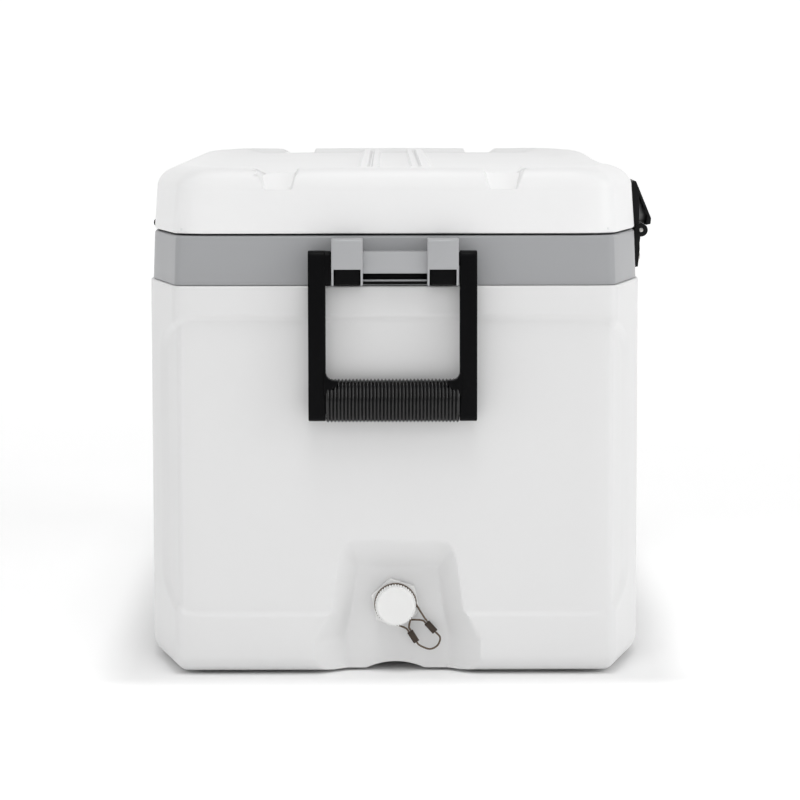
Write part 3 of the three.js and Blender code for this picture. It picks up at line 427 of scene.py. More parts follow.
def quarter(stations, lengthwise, crosswise, corner, swell, bend, facet):
    corner_line = corner_points(corner, swell, stations["corner"])
    flat = crosswise - corner_line[-1][1] - facet * math.sin(FACET_ANGLE)
    flat -= bend * (1 - math.cos(FACET_ANGLE))
    bend_start = lengthwise - corner_line[-1][0] - facet * math.cos(FACET_ANGLE)
    end = [(lengthwise, share * flat) for share in stations["end"]]
    around = [(lengthwise - back, flat + out) for back, out in corner_line]
    first = around[-1]
    slant = [
        (first[0] - share * facet * math.cos(FACET_ANGLE), first[1] + share * facet * math.sin(FACET_ANGLE))
        for share in stations["facet"]
    ]
    bent = [
        (bend_start - bend * (math.cos(TURN) - math.cos(angle)), crosswise - bend * (1 - math.sin(angle)))
        for angle in TURN + stations["bend"] * FACET_ANGLE
    ]
    side = [(share * bent[-1][0], crosswise) for share in stations["side"]]
    return np.array(end + around + slant + bent + side)


# The whole outline, counter-clockwise from the middle of the +X end. near holds the stations of
# the drain end and far those of the other end.
def outline(near, far, *sizes):
    far_part = quarter(far, *sizes)
    near_part = quarter(near, *sizes)
    return np.concatenate([
        far_part,
        (near_part * (-1, 1))[::-1][1:],
        (near_part * (-1, -1))[1:],
        (far_part * (1, -1))[::-1][1:-1],
    ])


# The sizes of the outline moved in from the end and the side, its corners rounder by softer.
def body_sizes(inset_end, inset_side=None, softer=0):
    inset_side = inset_end if inset_side is None else inset_side
    inset = (inset_end + inset_side) / 2
    corner = max(CORNER_RADIUS - inset, 2 * MM) + softer
    swell = SWELL_RADIUS - inset
    true_reach = corner_reach(CORNER_RADIUS - inset, swell)
    facet = END_TO_BEND - corner_reach(CORNER_RADIUS, SWELL_RADIUS)
    facet += true_reach - corner_reach(corner, swell)
    return (HALF_LENGTH - inset_end, HALF_WIDTH - inset_side, corner, swell, BEND_RADIUS - inset_side,
            facet / math.cos(FACET_ANGLE))


MOUTH_INSET = 37.5 * MM


def mouth_sizes(inset):
    return (HALF_LENGTH - MOUTH_INSET - inset, HALF_WIDTH - MOUTH_INSET - inset,
            24 * MM - inset, 24 * MM - inset, 70 * MM - inset, 20 * MM)


plain_corner = quarter({"end": [1], "corner": np.array([0, 1]), "facet": [], "bend": np.array([0, 1]),
                        "side": []}, *body_sizes(0))
FLAT_HALF = plain_corner[0][1]
FACET_X, FACET_Y = plain_corner[2 + SWELL_STEPS]
print("half of the flat end", round(FLAT_HALF, 4), "facet starts at", round(FACET_X, 4), round(FACET_Y, 4))


# Shares of the flat end from runs of (how far out, spacing), in millimetres.
def end_shares(*runs):
    spots = [0.0]
    for until, spacing in runs:
        count = max(round((until - spots[-1]) / spacing), 1)
        spots += list(np.linspace(spots[-1], until, count + 1)[1:])
    return np.array([spot for spot in spots if spot * MM < FLAT_HALF - 2 * MM]) * MM / FLAT_HALF


def stations(end, corner=12, facet=14, bend=6, side=12):
    return {
        "end": end,
        "corner": np.linspace(0, 1, corner + 1),
        "facet": np.linspace(0, 1, facet + 1)[1:-1],
        "bend": np.linspace(0, 1, bend + 1),
        "side": np.linspace(1, 0, side + 1)[1:],
    }

# %% [markdown]
# ## Walls from rings
# A tub, a collar or a lid is a stack of rings. Each ring is the outline at its own inset and
# height. The first and last rings are shut by joining each point to its mirror image in Y, which
# makes long thin faces across the chest where nobody looks closely.

# %% Rings and closed bottoms
def mirror_faces(count, start, flip):
    # With an even count, point i lies opposite point (count - i) across the X axis.
    faces = []
    half = count // 2
    for i in range(half):
        a, b = i, i + 1
        c, d = (count - i - 1) % count, (count - i) % count
        corners = []
        for corner in (a, b, c, d):
            if start + corner not in corners:
                corners.append(start + corner)
        if len(corners) > 2:
            faces.append(tuple(corners[::-1] if flip else corners))
    return faces


def stack_of_rings(name, rings, materials, shut=True, loop=False):
    count = len(rings[0])
    points = np.concatenate(rings)
    faces = grid_faces(len(rings), count)
    last = (len(rings) - 1) * count
    if loop:
        faces += [(last + i, last + (i + 1) % count, (i + 1) % count, i) for i in range(count)]
    elif shut:
        faces += mirror_faces(count, 0, True) + mirror_faces(count, last, False)
    return turn_outward(new_object(name, points, faces, materials))


def ring(plan, height):
    return np.column_stack([plan, np.full(len(plan), height)])

# %% [markdown]
# ## The white tub
# The tub is one hollow moulding. Sunken panels in its walls stiffen them, the drain sits in a
# pocket with sloping sides at one end, and a shallow channel lets melt water run out below it.
# The wall is a fine grid, and each point of it is pushed inward by a depth that a formula gives
# from its place. Smooth steps in the formula give the soft edges that a mould leaves, which is
# much simpler than cutting the panels out and rounding every edge.

# %% How deep the panels and the drain pocket go
PANEL_DEPTH = 3.5 * MM
PANEL_LOW = 50.6 * MM
PANEL_HIGH = SHELL_TOP - 26.2 * MM
PANEL_ROUND = 30 * MM
PANEL_SLOPE_HALF = 2.9 * MM
END_PANEL_HALF = HALF_WIDTH - 13 * MM
SIDE_PANEL_HALF = HALF_LENGTH - 130 * MM
POCKET_BACK = 24 * MM
POCKET_DROP = POCKET_BACK - PANEL_DEPTH
POCKET_SHIFT = 1.5 * MM  # how far the pocket stands toward the latches
POCKET_ARCH = 86 * MM  # height at which its back starts to come forward
POCKET_TOP = 110.5 * MM


# Distance inside a rectangle with round corners, above zero inside.
def inside_rounded(across, up, half, low, high, radius):
    middle = (low + high) / 2
    over = np.abs(across) - half + radius
    above = np.abs(up - middle) - (high - low) / 2 + radius
    outside = np.hypot(np.maximum(over, 0), np.maximum(above, 0))
    return radius - outside - np.minimum(np.maximum(over, above), 0)


def panel_depth(across, up, half):
    inner = inside_rounded(across, up, half, PANEL_LOW, PANEL_HIGH, PANEL_ROUND)
    return PANEL_DEPTH * smoothstep(-PANEL_SLOPE_HALF, PANEL_SLOPE_HALF, inner)


# The larger of two numbers with a round transition this wide.
def soft_max(first, second, width):
    return (first + second + np.sqrt((first - second) ** 2 + width ** 2)) / 2


# The pocket's half width narrows upward, at its front edge and at its back wall.
def pocket_depth(across, up):
    front = np.interp(up, [0, 29 * MM, 49.5 * MM, POCKET_TOP], np.array([64, 64, 54.5, 46]) * MM)
    back = np.interp(up, [0, 29 * MM, 49.5 * MM, POCKET_ARCH], np.array([42, 42, 38, 33]) * MM)
    from_side = (np.abs(across + POCKET_SHIFT) - back) / (front - back)
    from_top = (up - POCKET_ARCH) / (POCKET_TOP - POCKET_ARCH)
    share = (np.maximum(from_side, 0) ** 3 + np.maximum(from_top, 0) ** 3) ** (1 / 3)
    share = soft_max(share, 0, 0.1)
    return POCKET_BACK - POCKET_DROP * share


# %% The wall of the tub as a fine grid
SHELL_WALL = 7.5 * MM
SHELL_EDGE = 1.6 * MM
BASE_ROUND = 14 * MM
SOLE_HEIGHT, SOLE_INSET = 2.4 * MM, 40 * MM
ARCH_RISE, ARCH_HALF = 5.3 * MM, 24 * MM
END_ZONE = 62 * MM  # the part at each end that takes the end panel and not the side panel
CHANNEL_END = POCKET_BACK + 60 * MM
near_end = stations(end_shares((66, 1.5), (158, 3.4)), corner=14, facet=30, bend=8, side=16)
far_end = stations(end_shares((158, 6)), corner=12, facet=26, bend=6, side=16)


# How far in the rounded lower edge stands at a height.
def base_inset(height):
    left = np.clip(1 - (height - SOLE_HEIGHT) / BASE_ROUND, 0, 1)
    return BASE_ROUND * (1 - np.sqrt(1 - left ** 2))


# A ring in which the points below the arch of the drip channel are lifted onto it.
def under_arch(plan, height):
    x, y = plan[:, 0], plan[:, 1]
    arch = SOLE_HEIGHT + ARCH_RISE * (1 - (y / ARCH_HALF) ** 2)
    return np.column_stack([plan, np.where(x < 0, np.maximum(arch, height), height)])


def tub_plan(inset):
    return outline(near_end, far_end, *body_sizes(inset))


# A ring of the wall at a height: its outer face, or its inner face when a wall is given.
def shell_ring(height, wall=0.0):
    tucked = base_inset(height)
    flat = tub_plan(tucked)
    inward = tub_plan(tucked + MM) - flat
    x, y = flat[:, 0], flat[:, 1]
    on_end = np.abs(x) > HALF_LENGTH - END_ZONE
    end_depth = panel_depth(y, height, END_PANEL_HALF) * on_end
    side_depth = panel_depth(x, height, SIDE_PANEL_HALF) * ~on_end
    pocket = np.where(x < -HALF_LENGTH + 30 * MM, pocket_depth(y, height) - wall, 0)
    depth = np.maximum(end_depth, side_depth)
    pocket_shift = np.maximum(pocket + wall - tucked * (wall == 0), 0)
    depth = np.maximum(depth, pocket_shift) + wall
    return under_arch(flat + inward * depth[:, None] / MM, height)


# Heights from a start and runs of (how far up, spacing), in millimetres.
def runs(*pairs):
    spots = [pairs[0][0]]
    for until, spacing in pairs[1:]:
        count = max(round((until - spots[-1]) / spacing), 1)
        spots += list(np.linspace(spots[-1], until, count + 1)[1:])
    return [spot * MM for spot in spots]


outside_heights = runs((SOLE_HEIGHT / MM, 0), (7, 0.8), (24, 1.7), (40, 2), (60, 1.5), (116, 1.7),
                       (258, 9), (SHELL_TOP / MM - 22, 1.7), ((SHELL_TOP - SHELL_EDGE) / MM, 5))
rings = [
    ring(tub_plan(CHANNEL_END + MM), 0.0),
    under_arch(tub_plan(CHANNEL_END), 0.0),
    under_arch(tub_plan(SOLE_INSET), 0.0),
    under_arch(tub_plan(SOLE_INSET - MM), SOLE_HEIGHT),
]
rings += [shell_ring(height) for height in outside_heights]
rings += [
    ring(tub_plan(SHELL_EDGE * (1 - math.cos(angle))), SHELL_TOP - SHELL_EDGE * (1 - math.sin(angle)))
    for angle in np.linspace(0, math.pi / 2, 5)[1:]
]
rings.append(ring(tub_plan(SHELL_WALL), SHELL_TOP))
rings += [shell_ring(height * MM, SHELL_WALL) for height in (130, 112, 98, 84, 60, 34, 14)]
rings.append(ring(tub_plan(34 * MM), 13 * MM))
tub = stack_of_rings("tub", rings, tub_white)
finish_piece(tub, "chest", "white_shell", "outer_shell")
corners = np.array(tub.bound_box)
print("tub box", corners.min(0).round(4), corners.max(0).round(4))

# %% [markdown]
# ## The grey collar
# The collar is a separate ring with an L-shaped section. Its skirt hides the top of the tub, and
# its top, which falls a little toward a low lip round the mouth, carries the lid's seal. A closed
# section swept round the outline makes it: the rings go up the outside, over the top, down into
# the mouth and back underneath.

# %% The collar as a closed section
ring_stations = stations(end_shares((158, 12)), corner=12, facet=4, bend=8, side=4)


def band(sizes, height):
    return ring(outline(ring_stations, ring_stations, *sizes), height)


COLLAR_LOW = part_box("rim_collar")[0].z
COLLAR_IN_LOW, COLLAR_IN_HIGH = 2.2 * MM, 3.6 * MM
COLLAR_EDGE = 2.4 * MM
COLLAR_PLATE = 3 * MM
LIP = 1.2 * MM


rings = [
    band(body_sizes(COLLAR_IN_LOW + 0.8 * MM), COLLAR_LOW),
    band(body_sizes(COLLAR_IN_LOW + 0.2 * MM), COLLAR_LOW + 0.3 * MM),
    band(body_sizes(COLLAR_IN_LOW), COLLAR_LOW + 0.9 * MM),
    band(body_sizes((COLLAR_IN_LOW + COLLAR_IN_HIGH) / 2), (COLLAR_LOW + COLLAR_TOP) / 2),
]
rings += [
    band(body_sizes(COLLAR_IN_HIGH + COLLAR_EDGE * (1 - math.cos(angle))),
         COLLAR_TOP - COLLAR_EDGE * (1 - math.sin(angle)))
    for angle in np.linspace(0, math.pi / 2, 7)
]
rings += [
    band(mouth_sizes(-LIP * math.cos(angle)), COLLAR_TOP - LIP * (1 - math.sin(angle)))
    for angle in np.linspace(0, math.pi / 2, 5)
]
rings += [
    band(mouth_sizes(0), COLLAR_TOP - COLLAR_PLATE),
    band(body_sizes(COLLAR_IN_LOW + 5 * MM), COLLAR_TOP - COLLAR_PLATE),
    band(body_sizes(COLLAR_IN_LOW + 4 * MM), COLLAR_LOW),
]
collar = stack_of_rings("collar", rings, collar_grey, loop=True)
finish_piece(collar, "chest", "grey_collar", "rim_collar")

# %% [markdown]
# ## The inner tub and the seal
# The inside of the chest is a smooth tub with slightly sloping walls, so that it leaves its mould,
# and with a round floor edge that is easy to wipe. Its flange lies under the collar. The seal in
# the lid is a soft bulb, drawn as a closed section like the collar.

# %% The inner tub
FLOOR = 34 * MM
FLOOR_ROUND = 9 * MM
LINER_WALL = 2.5 * MM
LINER_DRAFT = 4 * MM
LINER_FLANGE = 11.5 * MM
liner_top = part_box("inner_liner")[1].z


def liner_wall(offset, height):
    fall = (liner_top - height) / (liner_top - FLOOR)
    return band(mouth_sizes(LINER_DRAFT * fall - offset), height)


foot = [
    (LINER_DRAFT + FLOOR_ROUND * (1 - math.cos(angle)), FLOOR + FLOOR_ROUND * (1 - math.sin(angle)))
    for angle in np.linspace(0, math.pi / 2, 7)
]
rings = [band(mouth_sizes(foot[-1][0]), FLOOR - LINER_WALL)]
rings += [
    band(mouth_sizes(inset - LINER_WALL), height - LINER_WALL * 0.6)
    for inset, height in foot[::-1][1:]
]
rings += [liner_wall(LINER_WALL, liner_top - 2 * LINER_WALL)]
rings += [
    band(mouth_sizes(-LINER_WALL), liner_top - LINER_WALL),
    band(mouth_sizes(-LINER_FLANGE), liner_top - LINER_WALL),
    band(mouth_sizes(-LINER_FLANGE), liner_top),
    band(mouth_sizes(-2 * MM), liner_top),
    band(mouth_sizes(-0.6 * MM), liner_top - 0.6 * MM),
    band(mouth_sizes(0), liner_top - 2 * MM),
]
rings += [liner_wall(0, liner_top - 60 * MM), liner_wall(0, liner_top - 180 * MM)]
rings += [band(mouth_sizes(inset), height) for inset, height in foot]
inner_tub = stack_of_rings("inner_tub", rings, liner_white)
finish_piece(inner_tub, "chest", "liner", "inner_liner")

# %% The seal in the lid
seal_low, seal_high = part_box("lid_gasket")[0].z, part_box("lid_gasket")[1].z
seal_middle = (seal_low + seal_high) / 2
seal_half = (seal_high - seal_low) / 2
SEAL_OUT, SEAL_HALF_WIDTH = 11 * MM, 4 * MM


# A sine or cosine drawn toward a square wave, which squares off the bulb's section.
def squarer(wave):
    return abs(wave) ** 0.6 * np.sign(wave)


rings = [
    band(mouth_sizes(-SEAL_OUT - SEAL_HALF_WIDTH * squarer(math.cos(angle))),
         seal_middle + seal_half * squarer(math.sin(angle)))
    for angle in np.linspace(0, 2 * math.pi, 17)[:-1]
]
seal = stack_of_rings("lid_seal", rings, seal_grey, loop=True)
finish_piece(seal, "lid", "seal", "lid_gasket")

# %% [markdown]
# ## The lid
# The lid's sides lean in a little and roll over into a raised rim. Inside the rim the top is
# dished, with two pairs of low ribs along it. Two notches in each end of the rim let rain water
# run off, and the front rim dips a little between the latches. The top is a height field over a
# grid that follows the outline, and the sides are rings. In a notch each point of the side moves
# from the plain section to a second section that steps in and up, so the edges stay soft.

# %% The top of the lid as a height field
DISH_DEPTH = 4.5 * MM
SIDE_INSET = 6 * MM  # of the lid's sides where the shoulder starts
RIM_INSET_END, RIM_INSET_SIDE = 19 * MM, 32 * MM
LID_SOFTER = 16 * MM
SHOULDER = 18 * MM
NOTCHES = (94.5 * MM, -87.5 * MM)
NOTCH_FOOT = LID_TOP - 17.5 * MM
NOTCH_STEP = 1.8 * MM
NOTCH_SOFT = 1.1 * MM
SCOOP_DEPTH, SCOOP_WIDTH = 1.1 * MM, 32 * MM
LID_END_ZONE = 60 * MM
RIBS = ((21.3, 31.6), (13.2, 19.4))
RIB_BELOW_RIM = 0.5 * MM


# How far a point lies inside the body's outline.
def inset_of(x, y):
    sine, cosine = math.sin(FACET_ANGLE), math.cos(FACET_ANGLE)
    facet = sine * (FACET_X - np.abs(x)) + cosine * (FACET_Y - np.abs(y))
    nearest = -soft_max(-(HALF_WIDTH - np.abs(y)), -facet, 6 * MM)
    return -soft_max(-(HALF_LENGTH - np.abs(x)), -nearest, 8 * MM)


# 1 inside a notch and 0 beside it. A notch is wider at its top than at its foot.
def notch_share(y, height):
    half = 10.5 * MM + 5 * MM * (height - NOTCH_FOOT) / (LID_TOP - NOTCH_FOOT)
    shares = [
        1 - smoothstep(half - NOTCH_SOFT, half + NOTCH_SOFT, np.abs(y - middle)) for middle in NOTCHES
    ]
    return np.maximum(*shares)


# How far the rim sinks beside the notches, where it rolls down into them.
def scoop(y):
    return [SCOOP_DEPTH * np.exp(-((y - middle) / SCOOP_WIDTH) ** 2) for middle in NOTCHES]


def front_dip(x, y):
    along = 1 - smoothstep(175 * MM, 215 * MM, np.abs(x))
    return 2.8 * MM * along * smoothstep(120 * MM, 150 * MM, -y)


def top_height(x, y):
    inset = inset_of(x, y)
    in_dish = smoothstep(36 * MM, 44 * MM, inset)
    height = LID_TOP - DISH_DEPTH * in_dish - front_dip(x, y) * (1 - in_dish)
    at_end = np.abs(x) > HALF_LENGTH - LID_END_ZONE
    near_edge = 1 - smoothstep(14 * MM, 36 * MM, inset)
    for sinking in scoop(y):
        height = height - sinking * near_edge * at_end
    gutter = notch_share(y, LID_TOP - 2 * MM) * at_end
    height = height + (np.minimum(height, LID_TOP - DISH_DEPTH) - height) * gutter
    for inner, outer in RIBS:
        spread = np.abs(np.abs(y) - (inner + outer) / 2 * MM) - (outer - inner) / 2 * MM
        rise = (1 - smoothstep(-1.3 * MM, 0.1 * MM, spread)) * in_dish
        height = np.maximum(height, LID_TOP - DISH_DEPTH + (DISH_DEPTH - RIB_BELOW_RIM) * rise)
    return height

# %% The sides of the lid as rings, with the notches
lid_end = stations(end_shares((12, 4), (34, 0.9), (78, 5), (119, 1.3), (158, 6)),
                   corner=12, facet=30, bend=6, side=14)


def lid_plan(inset_end, inset_side):
    return outline(lid_end, lid_end, *body_sizes(inset_end, inset_side, LID_SOFTER))


def lid_side(height):
    rise = (height - LID_LOW) / (LID_TOP - SHOULDER - LID_LOW)
    inset = 3.5 * MM + (SIDE_INSET - 3.5 * MM) * rise
    return ring(lid_plan(inset, inset), height)


def lid_shoulder(angle):
    back = 1 - math.cos(angle)
    inset_end = SIDE_INSET + (RIM_INSET_END - SIDE_INSET) * back
    plan = lid_plan(inset_end, SIDE_INSET + (RIM_INSET_SIDE - SIDE_INSET) * back)
    x, y = plan[:, 0], plan[:, 1]
    height = LID_TOP - SHOULDER + SHOULDER * math.sin(angle)
    lift = math.sin(angle) ** 2
    plain = height - front_dip(x, y) * lift
    for sinking in scoop(y):
        plain = plain - sinking * (np.abs(x) > HALF_LENGTH - LID_END_ZONE) * lift ** 3
    # The section inside a notch: a small step at its foot, then a ramp that leans further in.
    step = smoothstep(NOTCH_FOOT, NOTCH_FOOT + NOTCH_STEP, height)
    climb = np.clip((height - NOTCH_FOOT - NOTCH_STEP) / (14.6 * MM), 0, 1)
    notch_inset = max(inset_end, SIDE_INSET + 2.4 * MM * step + 10.6 * MM * climb)
    notch_height = NOTCH_FOOT + (LID_TOP - DISH_DEPTH - NOTCH_FOOT) * climb
    share = notch_share(y, max(height, NOTCH_FOOT)) * (np.abs(x) > HALF_LENGTH - 40 * MM)
    share = share * (height > NOTCH_FOOT)
    sunk = np.column_stack([np.sign(x) * (HALF_LENGTH - notch_inset), y])
    sunk = np.where(share[:, None] > 0, sunk, plan)
    mixed = plan + (sunk - plan) * share[:, None]
    return np.column_stack([mixed, plain + (notch_height - plain) * share])


# From inside the skirt round its lower edge, as (inset, height above the lid's lower edge).
SKIRT = [(9, 14), (7.2, 2), (6.6, 0.4), (5.5, 0), (4.2, 0.25), (3.6, 0.9)]
rings = [ring(lid_plan(inset * MM, inset * MM), LID_LOW + rise * MM) for inset, rise in SKIRT]
rings += [lid_side(LID_LOW + rise) for rise in runs((2, 2), (34, 6.4))]
# The rings lie closer together round the foot of the notches.
start_angle = math.asin((NOTCH_FOOT - LID_TOP + SHOULDER) / SHOULDER)
step_angle = math.asin(2.6 * MM / SHOULDER)
angles = [0.0, start_angle * 0.6, *np.linspace(start_angle * 1.05, step_angle, 5)]
angles += list(np.linspace(step_angle, math.pi / 2, 18)[1:])
rings += [lid_shoulder(angle) for angle in angles[:-1]]
top_plan = lid_plan(RIM_INSET_END, RIM_INSET_SIDE)
rings.append(np.column_stack([top_plan, top_height(top_plan[:, 0], top_plan[:, 1])]))
print("lid sides:", len(rings), "rings of", len(top_plan))

# %% The grid across the top, joined to the sides
KEPT_HALF = 113 * MM  # lines closer to the middle than this stay straight along the lid
corner_plan = quarter(lid_end, *body_sizes(RIM_INSET_END, RIM_INSET_SIDE, LID_SOFTER))
inner_lines = lid_end["end"] * corner_plan[len(lid_end["end"])][1]
edge_points = corner_plan[len(lid_end["end"]):]
edge_points = np.concatenate([edge_points, (edge_points[:-1] * (-1, 1))[::-1]])
flat = edge_points[0][1]


# The points across the lid on one line, which ends this far from the middle.
def cross_line(half):
    stretch = (half - KEPT_HALF) / (flat - KEPT_HALF)
    moved = KEPT_HALF + (inner_lines - KEPT_HALF) * stretch
    lines = np.where(inner_lines > KEPT_HALF, moved, inner_lines)
    return np.concatenate([[-half], -lines[:0:-1], lines, [half]])


across = np.array([cross_line(half) for _, half in edge_points])
along = np.repeat(edge_points[:, :1], across.shape[1], axis=1)
top_points = np.column_stack([along.ravel(), across.ravel(), top_height(along.ravel(), across.ravel())])
side_count = len(rings) * len(top_plan)
faces = grid_faces(len(rings), len(top_plan)) + mirror_faces(len(top_plan), 0, True)
faces += grid_faces(across.shape[0], across.shape[1], closed=False, start=side_count)
lid = new_object("lid_moulding", np.concatenate([*rings, top_points]), faces, lid_white)


def weld(obj, distance=1e-6):
    work = bmesh.new()
    work.from_mesh(obj.data)
    bmesh.ops.remove_doubles(work, verts=work.verts, dist=distance)
    open_edges = sum(edge.is_boundary for edge in work.edges)
    work.to_mesh(obj.data)
    work.free()
    print(obj.name, "has", open_edges, "open edges after welding")


weld(lid, 5e-6)
turn_outward(lid)
shade(lid.data, math.radians(35))
finish_piece(lid, "lid", "white_shell", "lid_shell")

# %% The lining under the lid
plate_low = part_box("lid_gasket")[1].z + GAP
plug_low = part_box("lid_liner")[0].z
plug = 3.5 * MM
PLUG_ROUND = 3 * MM
rings = [
    band(body_sizes(7.6 * MM), plate_low + 2.3 * MM),
    band(body_sizes(7.6 * MM), plate_low + 0.5 * MM),
    band(body_sizes(8.1 * MM), plate_low),
    band(mouth_sizes(plug - 1.6 * MM), plate_low),
    band(mouth_sizes(plug - 0.5 * MM), plate_low - 0.5 * MM),
    band(mouth_sizes(plug), plate_low - 1.6 * MM),
]
rings += [
    band(mouth_sizes(plug + PLUG_ROUND * (1 - math.cos(angle))),
         plug_low + PLUG_ROUND * (1 - math.sin(angle)))
    for angle in np.linspace(0, math.pi / 2, 6)
]
lining = stack_of_rings("lid_lining", rings, liner_white)
finish_piece(lining, "lid", "liner", "lid_liner")

# %% [markdown]
# ## Small solid parts
# The fittings are moulded blocks, bars and turned parts. A block is a profile pushed along one
# axis, with its sharp edges rounded in the mesh. A turned part is a section carried round an axis.
# Several such shells that run into each other are gathered into one piece, and a hole or a hollow
# is cut with a Boolean that is settled at once into a plain mesh.

# %% Blocks, turned parts, cuts and soft edges
def round_edges(work, edge, segments=2, sharp=math.radians(30)):
    if edge > 0:
        edges = [e for e in work.edges if e.is_manifold and e.calc_face_angle(0) > sharp]
        bmesh.ops.bevel(work, geom=edges, offset=edge, offset_type="OFFSET", segments=segments,
                        profile=0.5, affect="EDGES", clamp_overlap=True)


def take(work):
    work.verts.index_update()
    points = [tuple(vert.co) for vert in work.verts]
    faces = [tuple(vert.index for vert in face.verts) for face in work.faces]
    work.free()
    return points, faces


# A profile of (across, up) pairs, or (along, up) pairs for the y axis, pushed from low to high.
def block(profile, low, high, axis="x", edge=0.6 * MM, segments=2):
    work = bmesh.new()
    rows = []
    for reach in (low, high):
        spots = [(reach, a, b) if axis == "x" else (a, reach, b) for a, b in profile]
        rows.append([work.verts.new(spot) for spot in spots])
    work.faces.new(rows[0])
    work.faces.new(rows[1][::-1])
    for i in range(len(profile)):
        j = (i + 1) % len(profile)
        work.faces.new((rows[0][j], rows[0][i], rows[1][i], rows[1][j]))
    bmesh.ops.recalc_face_normals(work, faces=work.faces)
    round_edges(work, edge, segments)
    return take(work)


def box_part(low, high, edge=0.6 * MM):
    (x0, y0, z0), (x1, y1, z1) = low, high
    return block([(y0, z0), (y1, z0), (y1, z1), (y0, z1)], x0, x1, "x", edge)


# A section of (along, radius) pairs carried round an axis. A radius of 0 makes a pole.
def turned(section, centre, axis="x", sides=32, closed=False):
    points, rows = [], []
    for along, radius in section:
        first = len(points)
        count = sides if radius > 0 else 1
        for step in range(count):
            angle = 2 * math.pi * step / sides
            a, b = centre[0] + radius * math.cos(angle), centre[1] + radius * math.sin(angle)
            points.append({"x": (along, a, b), "y": (a, along, b), "z": (a, b, along)}[axis])
        rows.append([first + step % count for step in range(sides)])
    faces = []
    pairs = list(zip(rows, rows[1:])) + ([(rows[-1], rows[0])] if closed else [])
    for here, there in pairs:
        for i in range(sides):
            j = (i + 1) % sides
            corners = tuple(dict.fromkeys((here[i], here[j], there[j], there[i])))
            if len(corners) > 2:
                faces.append(corners)
    return points, faces


def gather(name, parts, material, smooth_angle=math.radians(35)):
    points, faces = [], []
    for part_points, part_faces in parts:
        start = len(points)
        points += [tuple(point) for point in part_points]
        faces += [tuple(start + corner for corner in face) for face in part_faces]
    obj = turn_outward(new_object(name, points, faces, material, smooth_angle))
    shade(obj.data, smooth_angle)
    return obj


# Replaces an object's mesh by what its modifiers make of it, and takes the modifiers off.
def settle(obj, smooth_angle=math.radians(35)):
    depsgraph = bpy.context.evaluated_depsgraph_get()
    mesh = bpy.data.meshes.new_from_object(obj.evaluated_get(depsgraph))
    obj.modifiers.clear()
    obj.data = mesh
    shade(mesh, smooth_angle)
    return obj


# A part with each cutter taken away in turn.
def carved(part, cutters, material):
    obj = gather("carved", [part], material)
    for cutter in cutters:
        tool = gather("tool", [cutter], material)
        modifier = obj.modifiers.new("cut", "BOOLEAN")
        modifier.operation = "DIFFERENCE"
        modifier.solver = "EXACT"
        modifier.object = tool
        settle(obj)
        bpy.data.objects.remove(tool)
    work = bmesh.new()
    work.from_mesh(obj.data)
    bpy.data.objects.remove(obj)
    return take(work)


# The same part turned half a turn about the middle of the chest.
def turned_about(part):
    points, faces = part
    return [(-x, -y, z) for x, y, z in points], faces


# Copies of CAD nodes with their points merged, flat faces joined and sharp edges rounded.
def refined(name, nodes, edge, material, body, slot_name, segments=2, more=()):
    parts = list(more)
    for node in nodes:
        work = bmesh.new()
        work.from_mesh(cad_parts[node].data)
        bmesh.ops.remove_doubles(work, verts=work.verts, dist=0.01 * MM)
        bmesh.ops.dissolve_limit(work, angle_limit=math.radians(1), verts=work.verts, edges=work.edges)
        round_edges(work, edge, segments)
        parts.append(take(work))
    piece = gather(name, parts, material)
    return finish_piece(piece, body, slot_name, *nodes)


print("helpers for blocks, turned parts and cuts are ready")

# %% [markdown]
# ## Trees that repeat a shape
# The grip's ribs, the cap's flutes and the screws repeat. Geometry Nodes does this well: a tree
# takes one rib, one flute or one screw and sets copies of it in a row, round an axis or on given
# points. Each tree ends in Realize Instances and Set Material, and its result is settled into a
# plain mesh.

# %% Build the three trees
def new_tree(name, **inputs):
    tree = bpy.data.node_groups.new(name, "GeometryNodeTree")
    tree.interface.new_socket("Geometry", in_out="INPUT", socket_type="NodeSocketGeometry")
    for label, kind in inputs.items():
        tree.interface.new_socket(label, in_out="INPUT", socket_type="NodeSocket" + kind)
    tree.interface.new_socket("Geometry", in_out="OUTPUT", socket_type="NodeSocketGeometry")
    return tree, tree.nodes.new("NodeGroupInput"), tree.nodes.new("NodeGroupOutput")


def calculate(tree, operation, first, second):
    node = tree.nodes.new("ShaderNodeMath")
    node.operation = operation
    for socket, value in zip(node.inputs, (first, second)):
        if isinstance(value, (int, float)):
            socket.default_value = value
        else:
            tree.links.new(value, socket)
    return node.outputs[0]


def close_tree(tree, start, end, instances, merge):
    realize = tree.nodes.new("GeometryNodeRealizeInstances")
    tree.links.new(instances, realize.inputs["Geometry"])
    made = realize.outputs["Geometry"]
    if merge:
        join = tree.nodes.new("GeometryNodeMergeByDistance")
        join.inputs["Distance"].default_value = 0.01 * MM
        tree.links.new(made, join.inputs["Geometry"])
        made = join.outputs["Geometry"]
    finish = tree.nodes.new("GeometryNodeSetMaterial")
    tree.links.new(made, finish.inputs["Geometry"])
    tree.links.new(start.outputs["Finish"], finish.inputs["Material"])
    tree.links.new(finish.outputs["Geometry"], end.inputs["Geometry"])
    return tree


